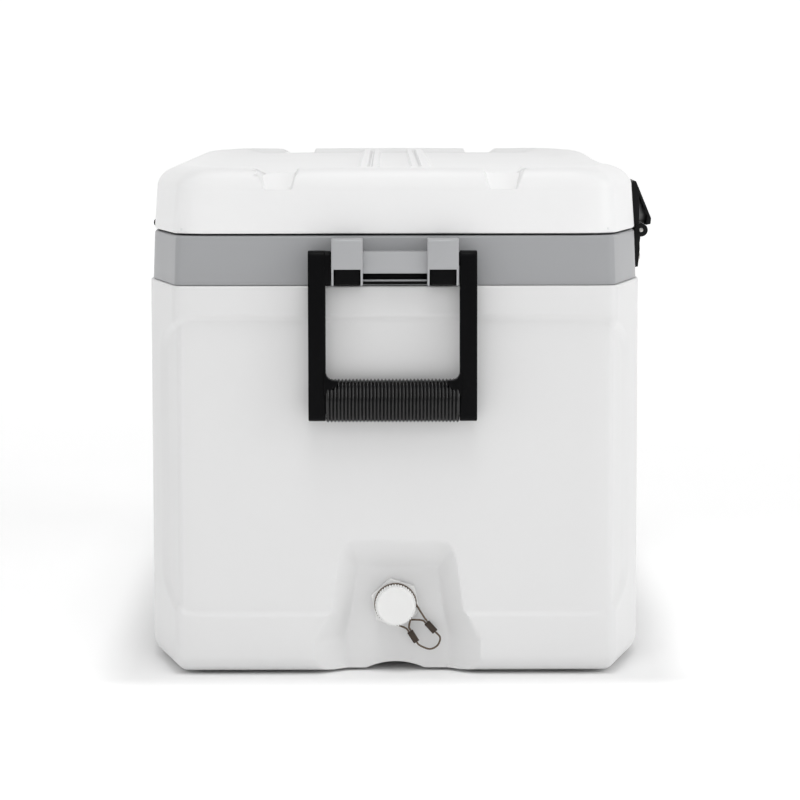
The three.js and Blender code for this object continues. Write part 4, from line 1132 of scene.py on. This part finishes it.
# One rib after another along Y, joined into a sleeve.
def rib_tree():
    tree, start, end = new_tree("row of ribs", Count="Int", Pitch="Float", Middle="Float", Finish="Material")
    spaces = calculate(tree, "SUBTRACT", start.outputs["Count"], 1)
    reach = calculate(tree, "MULTIPLY", spaces, start.outputs["Pitch"])
    half = calculate(tree, "MULTIPLY", reach, 0.5)
    first = calculate(tree, "SUBTRACT", start.outputs["Middle"], half)
    line = tree.nodes.new("GeometryNodeMeshLine")
    line.mode = "OFFSET"
    tree.links.new(start.outputs["Count"], line.inputs["Count"])
    for value, socket in ((first, "Start Location"), (start.outputs["Pitch"], "Offset")):
        vector = tree.nodes.new("ShaderNodeCombineXYZ")
        tree.links.new(value, vector.inputs["Y"])
        tree.links.new(vector.outputs["Vector"], line.inputs[socket])
    copies = tree.nodes.new("GeometryNodeInstanceOnPoints")
    tree.links.new(line.outputs["Mesh"], copies.inputs["Points"])
    tree.links.new(start.outputs["Geometry"], copies.inputs["Instance"])
    return close_tree(tree, start, end, copies.outputs["Instances"], True)


# One flute after another round an axis along X, through the given centre.
def flute_tree():
    tree, start, end = new_tree("ring of flutes", Count="Int", Centre="Vector", Finish="Material")
    line = tree.nodes.new("GeometryNodeMeshLine")
    line.mode = "OFFSET"
    line.inputs["Offset"].default_value = (0, 0, 0)
    tree.links.new(start.outputs["Count"], line.inputs["Count"])
    tree.links.new(start.outputs["Centre"], line.inputs["Start Location"])
    step = calculate(tree, "DIVIDE", 2 * math.pi, start.outputs["Count"])
    index = tree.nodes.new("GeometryNodeInputIndex")
    angle = calculate(tree, "MULTIPLY", index.outputs["Index"], step)
    turn = tree.nodes.new("ShaderNodeCombineXYZ")
    tree.links.new(angle, turn.inputs["X"])
    rotation = tree.nodes.new("FunctionNodeEulerToRotation")
    tree.links.new(turn.outputs["Vector"], rotation.inputs["Euler"])
    copies = tree.nodes.new("GeometryNodeInstanceOnPoints")
    tree.links.new(line.outputs["Mesh"], copies.inputs["Points"])
    tree.links.new(start.outputs["Geometry"], copies.inputs["Instance"])
    tree.links.new(rotation.outputs["Rotation"], copies.inputs["Rotation"])
    return close_tree(tree, start, end, copies.outputs["Instances"], True)


# One screw on each point of the mesh, its head turned the given way.
def screw_tree():
    tree, start, end = new_tree("screws on points", Screw="Object", Turn="Vector", Finish="Material")
    info = tree.nodes.new("GeometryNodeObjectInfo")
    tree.links.new(start.outputs["Screw"], info.inputs["Object"])
    rotation = tree.nodes.new("FunctionNodeEulerToRotation")
    tree.links.new(start.outputs["Turn"], rotation.inputs["Euler"])
    copies = tree.nodes.new("GeometryNodeInstanceOnPoints")
    tree.links.new(start.outputs["Geometry"], copies.inputs["Points"])
    tree.links.new(info.outputs["Geometry"], copies.inputs["Instance"])
    tree.links.new(rotation.outputs["Rotation"], copies.inputs["Rotation"])
    return close_tree(tree, start, end, copies.outputs["Instances"], False)


# Runs a tree on an object with the given inputs and settles the result.
def run_tree(obj, tree, **values):
    modifier = obj.modifiers.new(tree.name, "NODES")
    modifier.node_group = tree
    for socket in tree.interface.items_tree:
        if socket.in_out == "INPUT" and socket.name in values:
            modifier[socket.identifier] = values[socket.name]
    settle(obj)
    print(obj.name, "from", tree.name, "has", len(obj.data.polygons), "faces")
    return obj


row_of_ribs, ring_of_flutes, screws_on_points = rib_tree(), flute_tree(), screw_tree()

# %% [markdown]
# ## The handle brackets and bearings
# At each end a grey bracket clips over the collar's edge. It has two blocks, open below, joined by
# a thin bar that stands back between them. In each block sits a black bearing that the handle
# turns in. The blocks are carved hollow, which keeps their walls true. Their dark mouths below and
# the pocket behind the bar are painted shade: a black block fills each mouth and a black plate
# stands behind the bar.

# %% The brackets
bracket_low, bracket_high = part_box("left_handle_bracket")
BRACKET_FRONT, BRACKET_BACK = bracket_low.x, bracket_high.x
BRACKET_OUTER = bracket_high.y
BRACKET_INNER = BRACKET_OUTER - 25.2 * MM
BRACKET_WALL = 1.7 * MM
BRACKET_ROUND = 3 * MM
MOUTH_HEIGHT = 13.4 * MM
PIVOT_X, PIVOT_Z = -365 * MM, COLLAR_TOP - 18 * MM
TRUNNION_RADIUS = 5.5 * MM


# One block of the bracket: its profile, hollow inside, open in front below, bored for the pin.
def bracket_block(side):
    low, high = sorted((side * BRACKET_INNER, side * BRACKET_OUTER))
    bottom, top = bracket_low.z, bracket_high.z
    face_low = bottom + MOUTH_HEIGHT
    front_edge = [
        (BRACKET_FRONT + BRACKET_ROUND * (1 - math.sin(angle)), top - BRACKET_ROUND * (1 - math.cos(angle)))
        for angle in np.linspace(0, math.pi / 2, 6)
    ]
    profile = [
        (BRACKET_FRONT, face_low),
        (BRACKET_FRONT + BRACKET_ROUND, bottom),
        (BRACKET_BACK, bottom),
        (BRACKET_BACK, top),
        *front_edge,
    ]
    hollow = box_part(
        (BRACKET_FRONT + BRACKET_WALL, low + BRACKET_WALL, bottom - MM),
        (BRACKET_BACK + MM, high - BRACKET_WALL, top - BRACKET_WALL), 0)
    face = box_part(
        (BRACKET_FRONT - MM, low + BRACKET_WALL, bottom - 2 * MM),
        (BRACKET_FRONT + BRACKET_WALL + 1.1 * MM, high - BRACKET_WALL, face_low), 0)
    ends = sorted((side * (BRACKET_OUTER - 3.5 * MM), side * (BRACKET_OUTER + MM)))
    bore_radius = TRUNNION_RADIUS + GAP
    bore = turned([(ends[0], 0), (ends[0], bore_radius), (ends[1], bore_radius), (ends[1], 0)],
                  (PIVOT_X, PIVOT_Z), "y", 40)
    return carved(block(profile, low, high, "y", 0.8 * MM, 3), [hollow, face, bore], bracket_grey)


bar_x = BRACKET_FRONT + 4 * MM
bar_low, bar_high = bracket_low.z + 10 * MM, bracket_low.z + 27.5 * MM
inner = BRACKET_INNER + MM
bracket_parts = [
    bracket_block(1),
    bracket_block(-1),
    box_part((bar_x, -inner, bar_low), (bar_x + BRACKET_WALL, inner, bar_high), 0.7 * MM),
    box_part((bar_x + 0.6 * MM, -inner, bar_high - BRACKET_WALL),
             (BRACKET_BACK, inner, bar_high - 0.05 * MM)),
    box_part((BRACKET_BACK - 5 * MM, -inner, bracket_low.z + 3 * MM),
             (BRACKET_BACK, inner, bracket_low.z + 4.5 * MM), 0.4 * MM),
]
# Painted shade: a thin black plate behind the bar, reaching from bearing to bearing, and a black block in
# each mouth are dark parts put where the pocket behind the bar and the mouths lie in shade.
painted_shade_plate = box_part((BRACKET_BACK - 1.8 * MM, -inner, bracket_low.z + 0.3 * MM),
                     (BRACKET_BACK - 0.3 * MM, inner, bar_low + 2 * MM), 0.2 * MM)
mouth_half = (BRACKET_OUTER - BRACKET_INNER) / 2 - BRACKET_WALL - 0.2 * MM
mouth_middle = (BRACKET_OUTER + BRACKET_INNER) / 2
painted_shade_parts = [painted_shade_plate] + [
    box_part((BRACKET_FRONT + 5 * MM, side * mouth_middle - mouth_half, bracket_low.z + 0.5 * MM),
             (BRACKET_BACK - MM, side * mouth_middle + mouth_half, bracket_low.z + 15 * MM), 0.3 * MM)
    for side in (-1, 1)
]
for side_name, turn in (("left", lambda part: part), ("right", turned_about)):
    piece = gather(side_name + "_bracket", [turn(part) for part in bracket_parts], bracket_grey)
    finish_piece(piece, "chest", "grey_bracket", side_name + "_handle_bracket")
    bearings = [f"{side_name}_handle_bearing_front", f"{side_name}_handle_bearing_rear"]
    refined(side_name + "_bearings", bearings, 0.5 * MM, arm_black, "chest", "black_plastic",
            more=[turn(part) for part in painted_shade_parts])

# %% [markdown]
# ## The handles
# Each handle is a hard black U that hangs from two short pins, with a rubber sleeve on its lower
# bar. The arms are flat bars whose ends are rounded front and back. The sleeve is a D in section,
# ribbed all round for grip, so one rib is made and the tree repeats it. A smooth web fills each
# corner where the sleeve meets an arm, and one arm has a thick shoulder that takes up side play.

# %% The arms
bail_low, bail_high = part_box("left_handle_bail")
BAIL_MIDDLE = (bail_low.y + bail_high.y) / 2
BAIL_HALF = (bail_high.y - bail_low.y) / 2
ARM_WIDTH = 14 * MM
ARM_INNER = BAIL_HALF - ARM_WIDTH
ARM_HALF_DEPTH = 6 * MM
ARM_FRONT_ROUND, ARM_BACK_ROUND = 5.2 * MM, 3 * MM
TRUNNION_LEAD = 0.8 * MM
WEB_REACH = 6.5 * MM
GRIP_MIDDLE_Z = bail_low.z + 16.3 * MM


# A rectangle with round corners, of one radius in front and another at the back.
def rounded_profile(low, high, front, back, steps=5):
    corners = [
        (low[0], low[1], front, 180), (high[0], low[1], back, 270),
        (high[0], high[1], back, 0), (low[0], high[1], front, 90),
    ]
    profile = []
    for x, z, radius, start in corners:
        inward_x = radius if x == low[0] else -radius
        inward_z = radius if z == low[1] else -radius
        for step in range(steps + 1):
            angle = math.radians(start + 90 * step / steps)
            profile.append((x + inward_x + radius * math.cos(angle),
                            z + inward_z + radius * math.sin(angle)))
    return profile


# An arm from inner to outer, across. A sunk one lies a little inside the faces of the others.
def arm(side, low_z, inner, outer, sunk=0.0):
    low, high = sorted((BAIL_MIDDLE + side * inner, BAIL_MIDDLE + side * outer))
    depth = ARM_HALF_DEPTH - sunk
    profile = rounded_profile((PIVOT_X - depth, low_z), (PIVOT_X + depth, bail_high.z - sunk),
                              ARM_FRONT_ROUND, ARM_BACK_ROUND)
    return block(profile, low, high, "y", 0.8 * MM, 3)


# The short pin that turns in the bearing, with a small cone at its tip.
def trunnion(side):
    tip = side * (BRACKET_INNER + BRACKET_WALL + 3 * MM)
    root = BAIL_MIDDLE + side * (ARM_INNER + 2 * MM)
    section = [
        (tip, 0), (tip, TRUNNION_RADIUS - TRUNNION_LEAD), (tip + side * TRUNNION_LEAD, TRUNNION_RADIUS),
        (root, TRUNNION_RADIUS), (root, 0),
    ]
    return turned(section, (PIVOT_X, PIVOT_Z), "y", 32)


# The web in the corner between an arm and the sleeve, hollow on its upper edge.
def corner_web(side):
    wall = ARM_INNER + 1.5 * MM
    top = GRIP_MIDDLE_Z + 23.5 * MM
    curve = [
        (ARM_INNER - WEB_REACH * (1 - math.cos(angle)), top - WEB_REACH * math.sin(angle))
        for angle in np.linspace(0, math.pi / 2, 8)
    ]
    shape = [
        (wall, top), *curve,
        (ARM_INNER - WEB_REACH - 3.4 * MM, top - WEB_REACH - 0.2 * MM),
        (ARM_INNER - WEB_REACH - 3.6 * MM, top - WEB_REACH - 3 * MM),
        (ARM_INNER - 4.5 * MM, top - 15 * MM), (wall, top - 19 * MM),
    ]
    profile = [(BAIL_MIDDLE + side * across, up) for across, up in shape]
    return block(profile, PIVOT_X - 7.2 * MM, PIVOT_X + 4 * MM, "x", 1.6 * MM, 3)


bail_parts = []
for side in (-1, 1):
    bail_parts += [arm(side, bail_low.z, ARM_INNER, BAIL_HALF), trunnion(side), corner_web(side)]
shoulder_inner = BRACKET_OUTER - BAIL_MIDDLE + 0.5 * MM
bail_parts.append(arm(1, bail_high.z - 28.5 * MM, shoulder_inner, ARM_INNER + 3 * MM, 0.3 * MM))
core_reach = ARM_INNER + MM
bail_parts.append(box_part(
    (PIVOT_X - 4.5 * MM, BAIL_MIDDLE - core_reach, GRIP_MIDDLE_Z - 10 * MM),
    (PIVOT_X + 4.5 * MM, BAIL_MIDDLE + core_reach, GRIP_MIDDLE_Z + 10 * MM)))
for side_name, parts in (("left", bail_parts), ("right", [turned_about(part) for part in bail_parts])):
    piece = gather(side_name + "_arms", parts, arm_black)
    finish_piece(piece, side_name + "_handle", "black_plastic", side_name + "_handle_bail")

# %% The ribbed sleeve
grip_low, grip_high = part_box("left_handle_grip")
RIB_COUNT = 37
RIB_PITCH = (grip_high.y - grip_low.y) / RIB_COUNT
RIB_DEPTH = 1.15 * MM
SLEEVE_NOSE, SLEEVE_EDGE = 10 * MM, 3 * MM
# One rib in shares of the pitch and of the depth, from valley to valley.
RIB_SHAPE = [(-0.5, 1), (-0.32, 0.72), (-0.15, 0.14), (0, 0), (0.15, 0.14), (0.32, 0.72), (0.5, 1)]


# The sleeve's section: half an ellipse in front, and two round edges at the flat back.
def sleeve_outline():
    middle_z, half_z = (grip_low.z + grip_high.z) / 2, (grip_high.z - grip_low.z) / 2
    centre_x = grip_low.x + SLEEVE_NOSE
    points = [
        (centre_x + SLEEVE_NOSE * math.cos(angle), middle_z + half_z * math.sin(angle))
        for angle in np.linspace(math.pi / 2, 3 * math.pi / 2, 25)
    ]
    back_x = grip_high.x - SLEEVE_EDGE
    for z, start in ((grip_low.z + SLEEVE_EDGE, -90), (grip_high.z - SLEEVE_EDGE, 0)):
        for step in range(5):
            angle = math.radians(start + 90 * step / 4)
            points.append((back_x + SLEEVE_EDGE * math.cos(angle), z + SLEEVE_EDGE * math.sin(angle)))
    return np.array(points)


# The direction inward at each point of a closed outline.
def inward_normals(loop):
    ahead = np.roll(loop, -1, axis=0) - np.roll(loop, 1, axis=0)
    ahead /= np.linalg.norm(ahead, axis=1)[:, None]
    normal = np.column_stack([-ahead[:, 1], ahead[:, 0]])
    middle = loop.mean(axis=0)
    if np.sum((middle - loop) * normal) < 0:
        normal = -normal
    return normal


def one_rib(name):
    loop = sleeve_outline()
    inward = inward_normals(loop)
    points = []
    for along, depth in RIB_SHAPE:
        row = loop + inward * depth * RIB_DEPTH
        points += [(x, along * RIB_PITCH, z) for x, z in row]
    return new_object(name, points, grid_faces(len(RIB_SHAPE), len(loop)), grip_black)


# Joins points that meet and shuts whatever is still open.
def close_holes(obj):
    work = bmesh.new()
    work.from_mesh(obj.data)
    bmesh.ops.remove_doubles(work, verts=work.verts, dist=0.01 * MM)
    bmesh.ops.holes_fill(work, edges=[edge for edge in work.edges if edge.is_boundary], sides=0)
    bmesh.ops.recalc_face_normals(work, faces=work.faces)
    work.to_mesh(obj.data)
    work.free()
    shade(obj.data, math.radians(50))


for side_name in ("left", "right"):
    sleeve = run_tree(one_rib(side_name + "_sleeve"), row_of_ribs, Count=RIB_COUNT, Pitch=RIB_PITCH,
                      Middle=BAIL_MIDDLE, Finish=grip_black)
    if side_name == "right":
        sleeve.data.transform(Matrix.Rotation(math.pi, 4, "Z"))
    close_holes(sleeve)
    finish_piece(sleeve, side_name + "_handle", "black_grip", side_name + "_handle_grip")

# %% [markdown]
# ## The latches
# Each latch is a black lever on a steel pin, in a black leaf that is screwed to the collar. Pulling
# the lever's lip swings it down and frees the lid. The lever is one profile pushed along the chest,
# cut back at both ends for the leaf's ears.

# %% The levers and leaves
pin_low, pin_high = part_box("left_latch_pin")
LATCH_Y, LATCH_Z = (pin_low.y + pin_high.y) / 2, (pin_low.z + pin_high.z) / 2
LATCH_HALF = (pin_high.x - pin_low.x) / 2
KNUCKLE = 5.6 * MM
PIN_BORE = 2.1 * MM
LATCH_EAR = 14 * MM
SHARP = 0.01 * MM  # edge of a cutter
lever_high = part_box("left_latch_lever")[1]


# From the top of the face round the lip, down the outside, under the pin and back up the face.
def lever_profile():
    face, top = lever_high.y, lever_high.z
    return [
        (face, top),
        (face - 3.2 * MM, top - 0.3 * MM),
        (LATCH_Y - 8.4 * MM, LATCH_Z + 10 * MM),
        (LATCH_Y - 7.9 * MM, LATCH_Z + 5 * MM),
        (LATCH_Y - 3.6 * MM, LATCH_Z + 4.2 * MM),
        (LATCH_Y - 5 * MM, LATCH_Z + 11 * MM),
        (LATCH_Y + 1.7 * MM, LATCH_Z + 29 * MM),
        (LATCH_Y + 1.7 * MM, LATCH_Z + 4 * MM),
        (LATCH_Y - 1 * MM, LATCH_Z),
        (face - 2.6 * MM, LATCH_Z + 1 * MM),
        (face - 2.4 * MM, LATCH_Z + 6 * MM),
        (face, LATCH_Z + 19 * MM),
    ]


def rod(low, high, radius, centre, sides=32, edge=0.5 * MM):
    return turned([(low, 0), (low, radius - edge), (low + edge, radius), (high - edge, radius),
                   (high, radius - edge), (high, 0)], centre, "x", sides)


# The lever with room cut for the leaf's ears, and the knuckle between them with its bore.
def lever(x):
    centre = (LATCH_Y, LATCH_Z)
    middle = LATCH_HALF - LATCH_EAR - GAP
    beyond = LATCH_HALF + MM
    cuts = [
        rod(low, high, KNUCKLE + GAP, centre, 40, SHARP)
        for low, high in ((x - beyond, x - middle), (x + middle, x + beyond))
    ]
    body = block(lever_profile(), x - LATCH_HALF, x + LATCH_HALF, "x", 0.55 * MM, 3)
    bore = rod(x - LATCH_HALF, x + LATCH_HALF, PIN_BORE, centre, 24, SHARP)
    knuckle = rod(x - middle, x + middle, KNUCKLE, centre, 40)
    return [carved(body, cuts, latch_black), carved(knuckle, [bore], latch_black)]


for side_name in ("left", "right"):
    low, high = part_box(side_name + "_latch_pin")
    piece = gather(side_name + "_lever", lever((low.x + high.x) / 2), latch_black)
    finish_piece(piece, side_name + "_latch", "black_plastic", side_name + "_latch_lever")
    refined(side_name + "_leaf", [side_name + "_latch_leaf"], 0.35 * MM, latch_black, "chest",
            "black_plastic")
    refined(side_name + "_pin", [side_name + "_latch_pin"], 0.3 * MM, steel, "chest", "stainless")

# %% [markdown]
# ## The hinges and screws
# Two plastic hinges with steel pins join the lid at the back. Their leaves keep the CAD's shape
# with their edges rounded. Every screw is the same pan head with a cross recess, carved once, and
# the tree sets one on each of the points given to it.

# %% The hinges
for side_name in ("left", "right"):
    refined(side_name + "_hinge_body", [side_name + "_hinge_body_leaf"], 0.4 * MM, latch_black, "chest",
            "black_plastic")
    refined(side_name + "_hinge_lid", [side_name + "_hinge_lid_leaf"], 0.4 * MM, latch_black, "lid",
            "black_plastic")
    refined(side_name + "_hinge_rod", [side_name + "_hinge_pin"], 0.3 * MM, steel, "chest", "stainless")

# %% The screws
SCREW_HEAD, SCREW_HEAD_HEIGHT, SCREW_SHANK = 3.6 * MM, 1.4 * MM, 1.7 * MM


def screw_pattern(length):
    head = -SCREW_HEAD_HEIGHT
    section = [
        (0, 0), (-0.04 * MM, SCREW_HEAD * 0.5), (-0.3 * MM, SCREW_HEAD * 0.82),
        (-0.75 * MM, SCREW_HEAD * 0.97),
        (head + 0.1 * MM, SCREW_HEAD), (head, SCREW_HEAD - 0.1 * MM), (head, SCREW_SHANK),
        (-length + SCREW_SHANK, SCREW_SHANK), (-length, 0),
    ]
    arm_half, slot_half, recess = 1.9 * MM, 0.45 * MM, 0.9 * MM
    cross = [
        box_part((-a, -b, -recess), (a, b, MM), 0)
        for a, b in ((arm_half, slot_half), (slot_half, arm_half))
    ]
    return gather("screw pattern", [carved(turned(section, (0, 0), "z", 24), cross, steel)], steel)


# Screws on the CAD's places, facing -Y or +Y and leaning with the wall.
def screws(name, nodes, body, facing, lean):
    boxes = [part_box(node) for node in nodes]
    heads = [
        ((low.x + high.x) / 2, low.y if facing < 0 else high.y, (low.z + high.z) / 2)
        for low, high in boxes
    ]
    length = boxes[0][1].y - boxes[0][0].y
    pattern = screw_pattern(length)
    points = new_object(name, heads, [], steel)
    turn = (-facing * (math.pi / 2 - lean), 0, 0)
    run_tree(points, screws_on_points, Screw=pattern, Turn=turn, Finish=steel)
    bpy.data.objects.remove(pattern)
    return finish_piece(points, body, "stainless", *nodes)


sides_and_numbers = [(side_name, number) for side_name in ("left", "right") for number in (1, 2)]
screws("latch_screws", [f"{side}_latch_screw_{n}" for side, n in sides_and_numbers], "chest", -1, 0)
screws("hinge_body_screws", [f"{side}_hinge_body_screw_{n}" for side, n in sides_and_numbers], "chest", 1,
       math.atan2(1.4, 38.7))
screws("hinge_lid_screws", [f"{side}_hinge_lid_screw_{n}" for side, n in sides_and_numbers], "lid", 1,
       math.atan2(2.5, 35))

# %% [markdown]
# ## The drain
# A threaded spout with a six-sided flange goes through the wall, with a soft washer outside and a
# nut inside. A round cap with a finely fluted edge screws over it. All are turned parts. The cap is
# one narrow wedge that holds one flute, which the tree repeats all the way round.

# %% The spout, washer and nut
spout_low, spout_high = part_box("drain_spout")
DRAIN_AXIS = (0.0, DRAIN_Z)
SPOUT_BORE = 9 * MM
FLANGE_CORNER, FLANGE_TURN = 21 * MM, math.radians(18)
WASHER_RADIUS = 18 * MM


def tube(low, high, outer, inner_radius, edge, sides=48):
    section = [
        (low, inner_radius + edge), (low, outer - edge), (low + edge, outer), (high - edge, outer),
        (high, outer - edge), (high, inner_radius + edge), (high - edge, inner_radius),
        (low + edge, inner_radius),
    ]
    return turned(section, DRAIN_AXIS, "x", sides, closed=True)


washer_low, washer_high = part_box("drain_washer")
six_corners = [
    (FLANGE_CORNER * math.cos(angle), DRAIN_Z + FLANGE_CORNER * math.sin(angle))
    for angle in FLANGE_TURN + np.arange(6) * math.pi / 3
]
flange = block(six_corners, FLANGE_OUTER_X, washer_low.x - GAP, "x", 0.9 * MM, 3)
barrel = tube(spout_low.x, spout_high.x, SPOUT_RADIUS, SPOUT_BORE, 0.6 * MM)
spout = gather("spout", [barrel, flange], drain_white)
finish_piece(spout, "chest", "drain_plastic", "drain_spout")
disc = tube(washer_low.x, washer_high.x, WASHER_RADIUS, SPOUT_RADIUS + GAP, 0.4 * MM)
washer = gather("washer", [disc], seal_grey)
finish_piece(washer, "chest", "seal", "drain_washer")
refined("nut", ["drain_nut"], 0.7 * MM, drain_white, "chest", "drain_plastic")

# %% The fluted cap
FLUTE_COUNT = 44
cap_low, cap_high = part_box("drain_cap")
CAP_RADIUS = (cap_high.y - cap_low.y) / 2
CAP_BORE = SPOUT_RADIUS + 2 * GAP
cap_front, cap_back = cap_low.x, cap_high.x
FLUTE_DEPTH = 1.1 * MM
CAP_WALL = 1.9 * MM
# Along the cap, its radius, and how much of the flute shows there.
cap_section = [
    (cap_front + 0.35 * MM, 0, 0), (cap_front + 0.35 * MM, CAP_RADIUS * 0.5, 0),
    (cap_front + 0.25 * MM, CAP_RADIUS * 0.76, 0), (cap_front, CAP_RADIUS * 0.82, 0),
    (cap_front, CAP_RADIUS - 2.2 * MM, 0), (cap_front + 0.3 * MM, CAP_RADIUS - 1.6 * MM, 0),
    (cap_front + 1 * MM, CAP_RADIUS - 1.3 * MM, 0), (cap_front + 2.4 * MM, CAP_RADIUS - 1.2 * MM, 0),
    (cap_front + 2.5 * MM, CAP_RADIUS - 0.3 * MM, 0.7), (cap_front + 2.9 * MM, CAP_RADIUS, 1),
    (cap_back - 0.6 * MM, CAP_RADIUS, 1), (cap_back, CAP_RADIUS - 0.5 * MM, 0.6),
    (cap_back, CAP_BORE, 0), (cap_front + CAP_WALL, CAP_BORE, 0), (cap_front + CAP_WALL, 0, 0),
]
flute_angle = 2 * math.pi / FLUTE_COUNT
flute_spots = [(-0.5, 1), (-0.2, 0.1), (0.2, 0.1), (0.5, 1)]
wedge_points = []
for along, radius, shown in cap_section:
    for share, depth in flute_spots:
        reach = radius - depth * FLUTE_DEPTH * shown
        angle = share * flute_angle
        wedge_points.append((along - cap_front, reach * math.cos(angle), reach * math.sin(angle)))
wedge_faces = grid_faces(len(cap_section), len(flute_spots), closed=False)
cap = new_object("cap", wedge_points, wedge_faces, drain_white)
run_tree(cap, ring_of_flutes, Count=FLUTE_COUNT, Centre=(cap_front, 0, DRAIN_Z), Finish=drain_white)
close_holes(cap)
shade(cap.data, math.radians(35))
finish_piece(cap, "cap", "drain_plastic", "drain_cap")
cap_seal_low, cap_seal_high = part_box("drain_cap_seal")
disc = tube(cap_seal_low.x, cap_seal_high.x, 12.8 * MM, 9.3 * MM, 0.4 * MM)
cap_seal = gather("cap_seal", [disc], seal_grey)
finish_piece(cap_seal, "cap_seat", "seal", "drain_cap_seal")

# %% The crimped ferrules
refined("spout_ferrule", ["tether_spout_ferrule"], 0.35 * MM, ferrule_steel, "chest", "stainless", 3)
refined("cap_ferrule", ["tether_cap_ferrule"], 0.35 * MM, ferrule_steel, "cap_seat", "stainless", 3)

# %% [markdown]
# ## The foam
# The foam between the walls is poured in and never seen while the chest is whole. Its two solids
# keep the CAD's shape and only take the look of cut foam.

# %% Give the foam its finish
for node in ("body_foam", "lid_foam"):
    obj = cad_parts[node]
    for slot in obj.material_slots:
        slot.material = foam_cream
    print(node, "has", len(obj.material_slots), "slot")

# %% [markdown]
# ## Floor and light
# The chest stands on a white floor under soft studio light. The floor and the backdrop are one
# sheet that curves up far behind, so no horizon shows.

# %% The white sweep and the lights
def sweep(name, half_width, front, back, height, curve):
    profile = [(front, 0.0), (back - curve, 0.0)]
    profile += [
        (back - curve + curve * math.sin(angle), curve * (1 - math.cos(angle)))
        for angle in np.linspace(0, math.pi / 2, 13)[1:]
    ]
    profile.append((back, height))
    points = [(x, side * half_width, z) for x, z in profile for side in (-1, 1)]
    faces = [(2 * i, 2 * i + 2, 2 * i + 3, 2 * i + 1) for i in range(len(profile) - 1)]
    return new_object(name, points, faces, floor_white)


# Painted light on the floor paper: a glow that is weakest next to the chest, where it paints shadow.
FLOOR_GLOW, FAR_GLOW = 0.22, 0.14
GLOW_FROM, GLOW_TO = 4 * MM, 60 * MM
FAR_FROM, FAR_TO = 0.6, 2.5
FLOOR_HALF_WIDTH, FLOOR_FRONT, FLOOR_BACK, FLOOR_RISE, FLOOR_CURVE = 9, -4.5, 6, 6, 2
floor_white = plastic("floor paper", tone(252, 252, 252), tone(250, 250, 250), 0.9, gloss=0.1)


# A faint painted glow keeps the paper white. It fades out close to the chest, which paints a
# darker band of shadow there on top of the chest's own soft shadow, and it grows behind the
# chest, toward the backdrop.
def glow_away_from_chest(material):
    tree = material.node_tree
    nodes, links = tree.nodes, tree.links
    place = nodes.new("ShaderNodeTexCoord")
    split = nodes.new("ShaderNodeSeparateXYZ")
    links.new(place.outputs["Object"], split.inputs["Vector"])
    beyond = []
    for axis, reach in (("X", HALF_LENGTH), ("Y", HALF_WIDTH)):
        size = calculate(tree, "ABSOLUTE", split.outputs[axis], 0)
        past = calculate(tree, "SUBTRACT", size, reach)
        beyond.append(calculate(tree, "MAXIMUM", past, 0))
    squares = [calculate(tree, "MULTIPLY", past, past) for past in beyond]
    away = calculate(tree, "SQRT", calculate(tree, "ADD", *squares), 0)
    fade = nodes.new("ShaderNodeMapRange")
    fade.interpolation_type = "SMOOTHSTEP"
    fade.inputs["From Min"].default_value = GLOW_FROM
    fade.inputs["From Max"].default_value = GLOW_TO
    fade.inputs["To Max"].default_value = FLOOR_GLOW
    links.new(away, fade.inputs["Value"])
    far = nodes.new("ShaderNodeMapRange")
    far.inputs["From Min"].default_value = FAR_FROM
    far.inputs["From Max"].default_value = FAR_TO
    far.inputs["To Max"].default_value = FAR_GLOW
    links.new(split.outputs["X"], far.inputs["Value"])
    glow = calculate(tree, "ADD", fade.outputs["Result"], far.outputs["Result"])
    shader = nodes["Principled BSDF"]
    shader.inputs["Emission Color"].default_value = (1, 1, 1, 1)
    links.new(glow, shader.inputs["Emission Strength"])


glow_away_from_chest(floor_white)
floor = sweep("floor", FLOOR_HALF_WIDTH, FLOOR_FRONT, FLOOR_BACK, FLOOR_RISE, FLOOR_CURVE)
floor.location.z = -0.05 * MM  # just under the chest, so that the two faces do not coincide


def softbox(name, place, target, size, power):
    light = bpy.data.lights.new(name, "AREA")
    light.shape = "RECTANGLE"
    light.size, light.size_y = size
    light.energy = power
    obj = bpy.data.objects.new(name, light)
    obj.location = place
    obj.rotation_mode = "QUATERNION"
    obj.rotation_quaternion = (Vector(target) - Vector(place)).to_track_quat("-Z", "Y")
    bpy.context.scene.collection.objects.link(obj)


WORLD_STRENGTH = 0.55
softbox("softbox above", (-1.1, 0, 2.5), (-0.2, 0, 0.2), (0.8, 1.1), 14)
softbox("softbox in front", (-3.0, 0.3, 2.1), (-0.3, 0, 0.2), (1.6, 1.2), 4.5)
softbox("softbox on the latch side", (-1.2, -2.4, 1.1), (0, 0, 0.25), (1.0, 1.6), 13)
softbox("softbox on the hinge side", (-1.2, 2.4, 1.1), (0, 0, 0.25), (1.0, 1.6), 3)
world = bpy.data.worlds.new("studio")
world.use_nodes = True
world.node_tree.nodes["Background"].inputs["Color"].default_value = (1, 1, 1, 1)
world.node_tree.nodes["Background"].inputs["Strength"].default_value = WORLD_STRENGTH
bpy.context.scene.world = world
bpy.context.scene.view_settings.view_transform = "Standard"
bpy.context.scene.view_settings.look = "None"
print("four softboxes and an even world light")
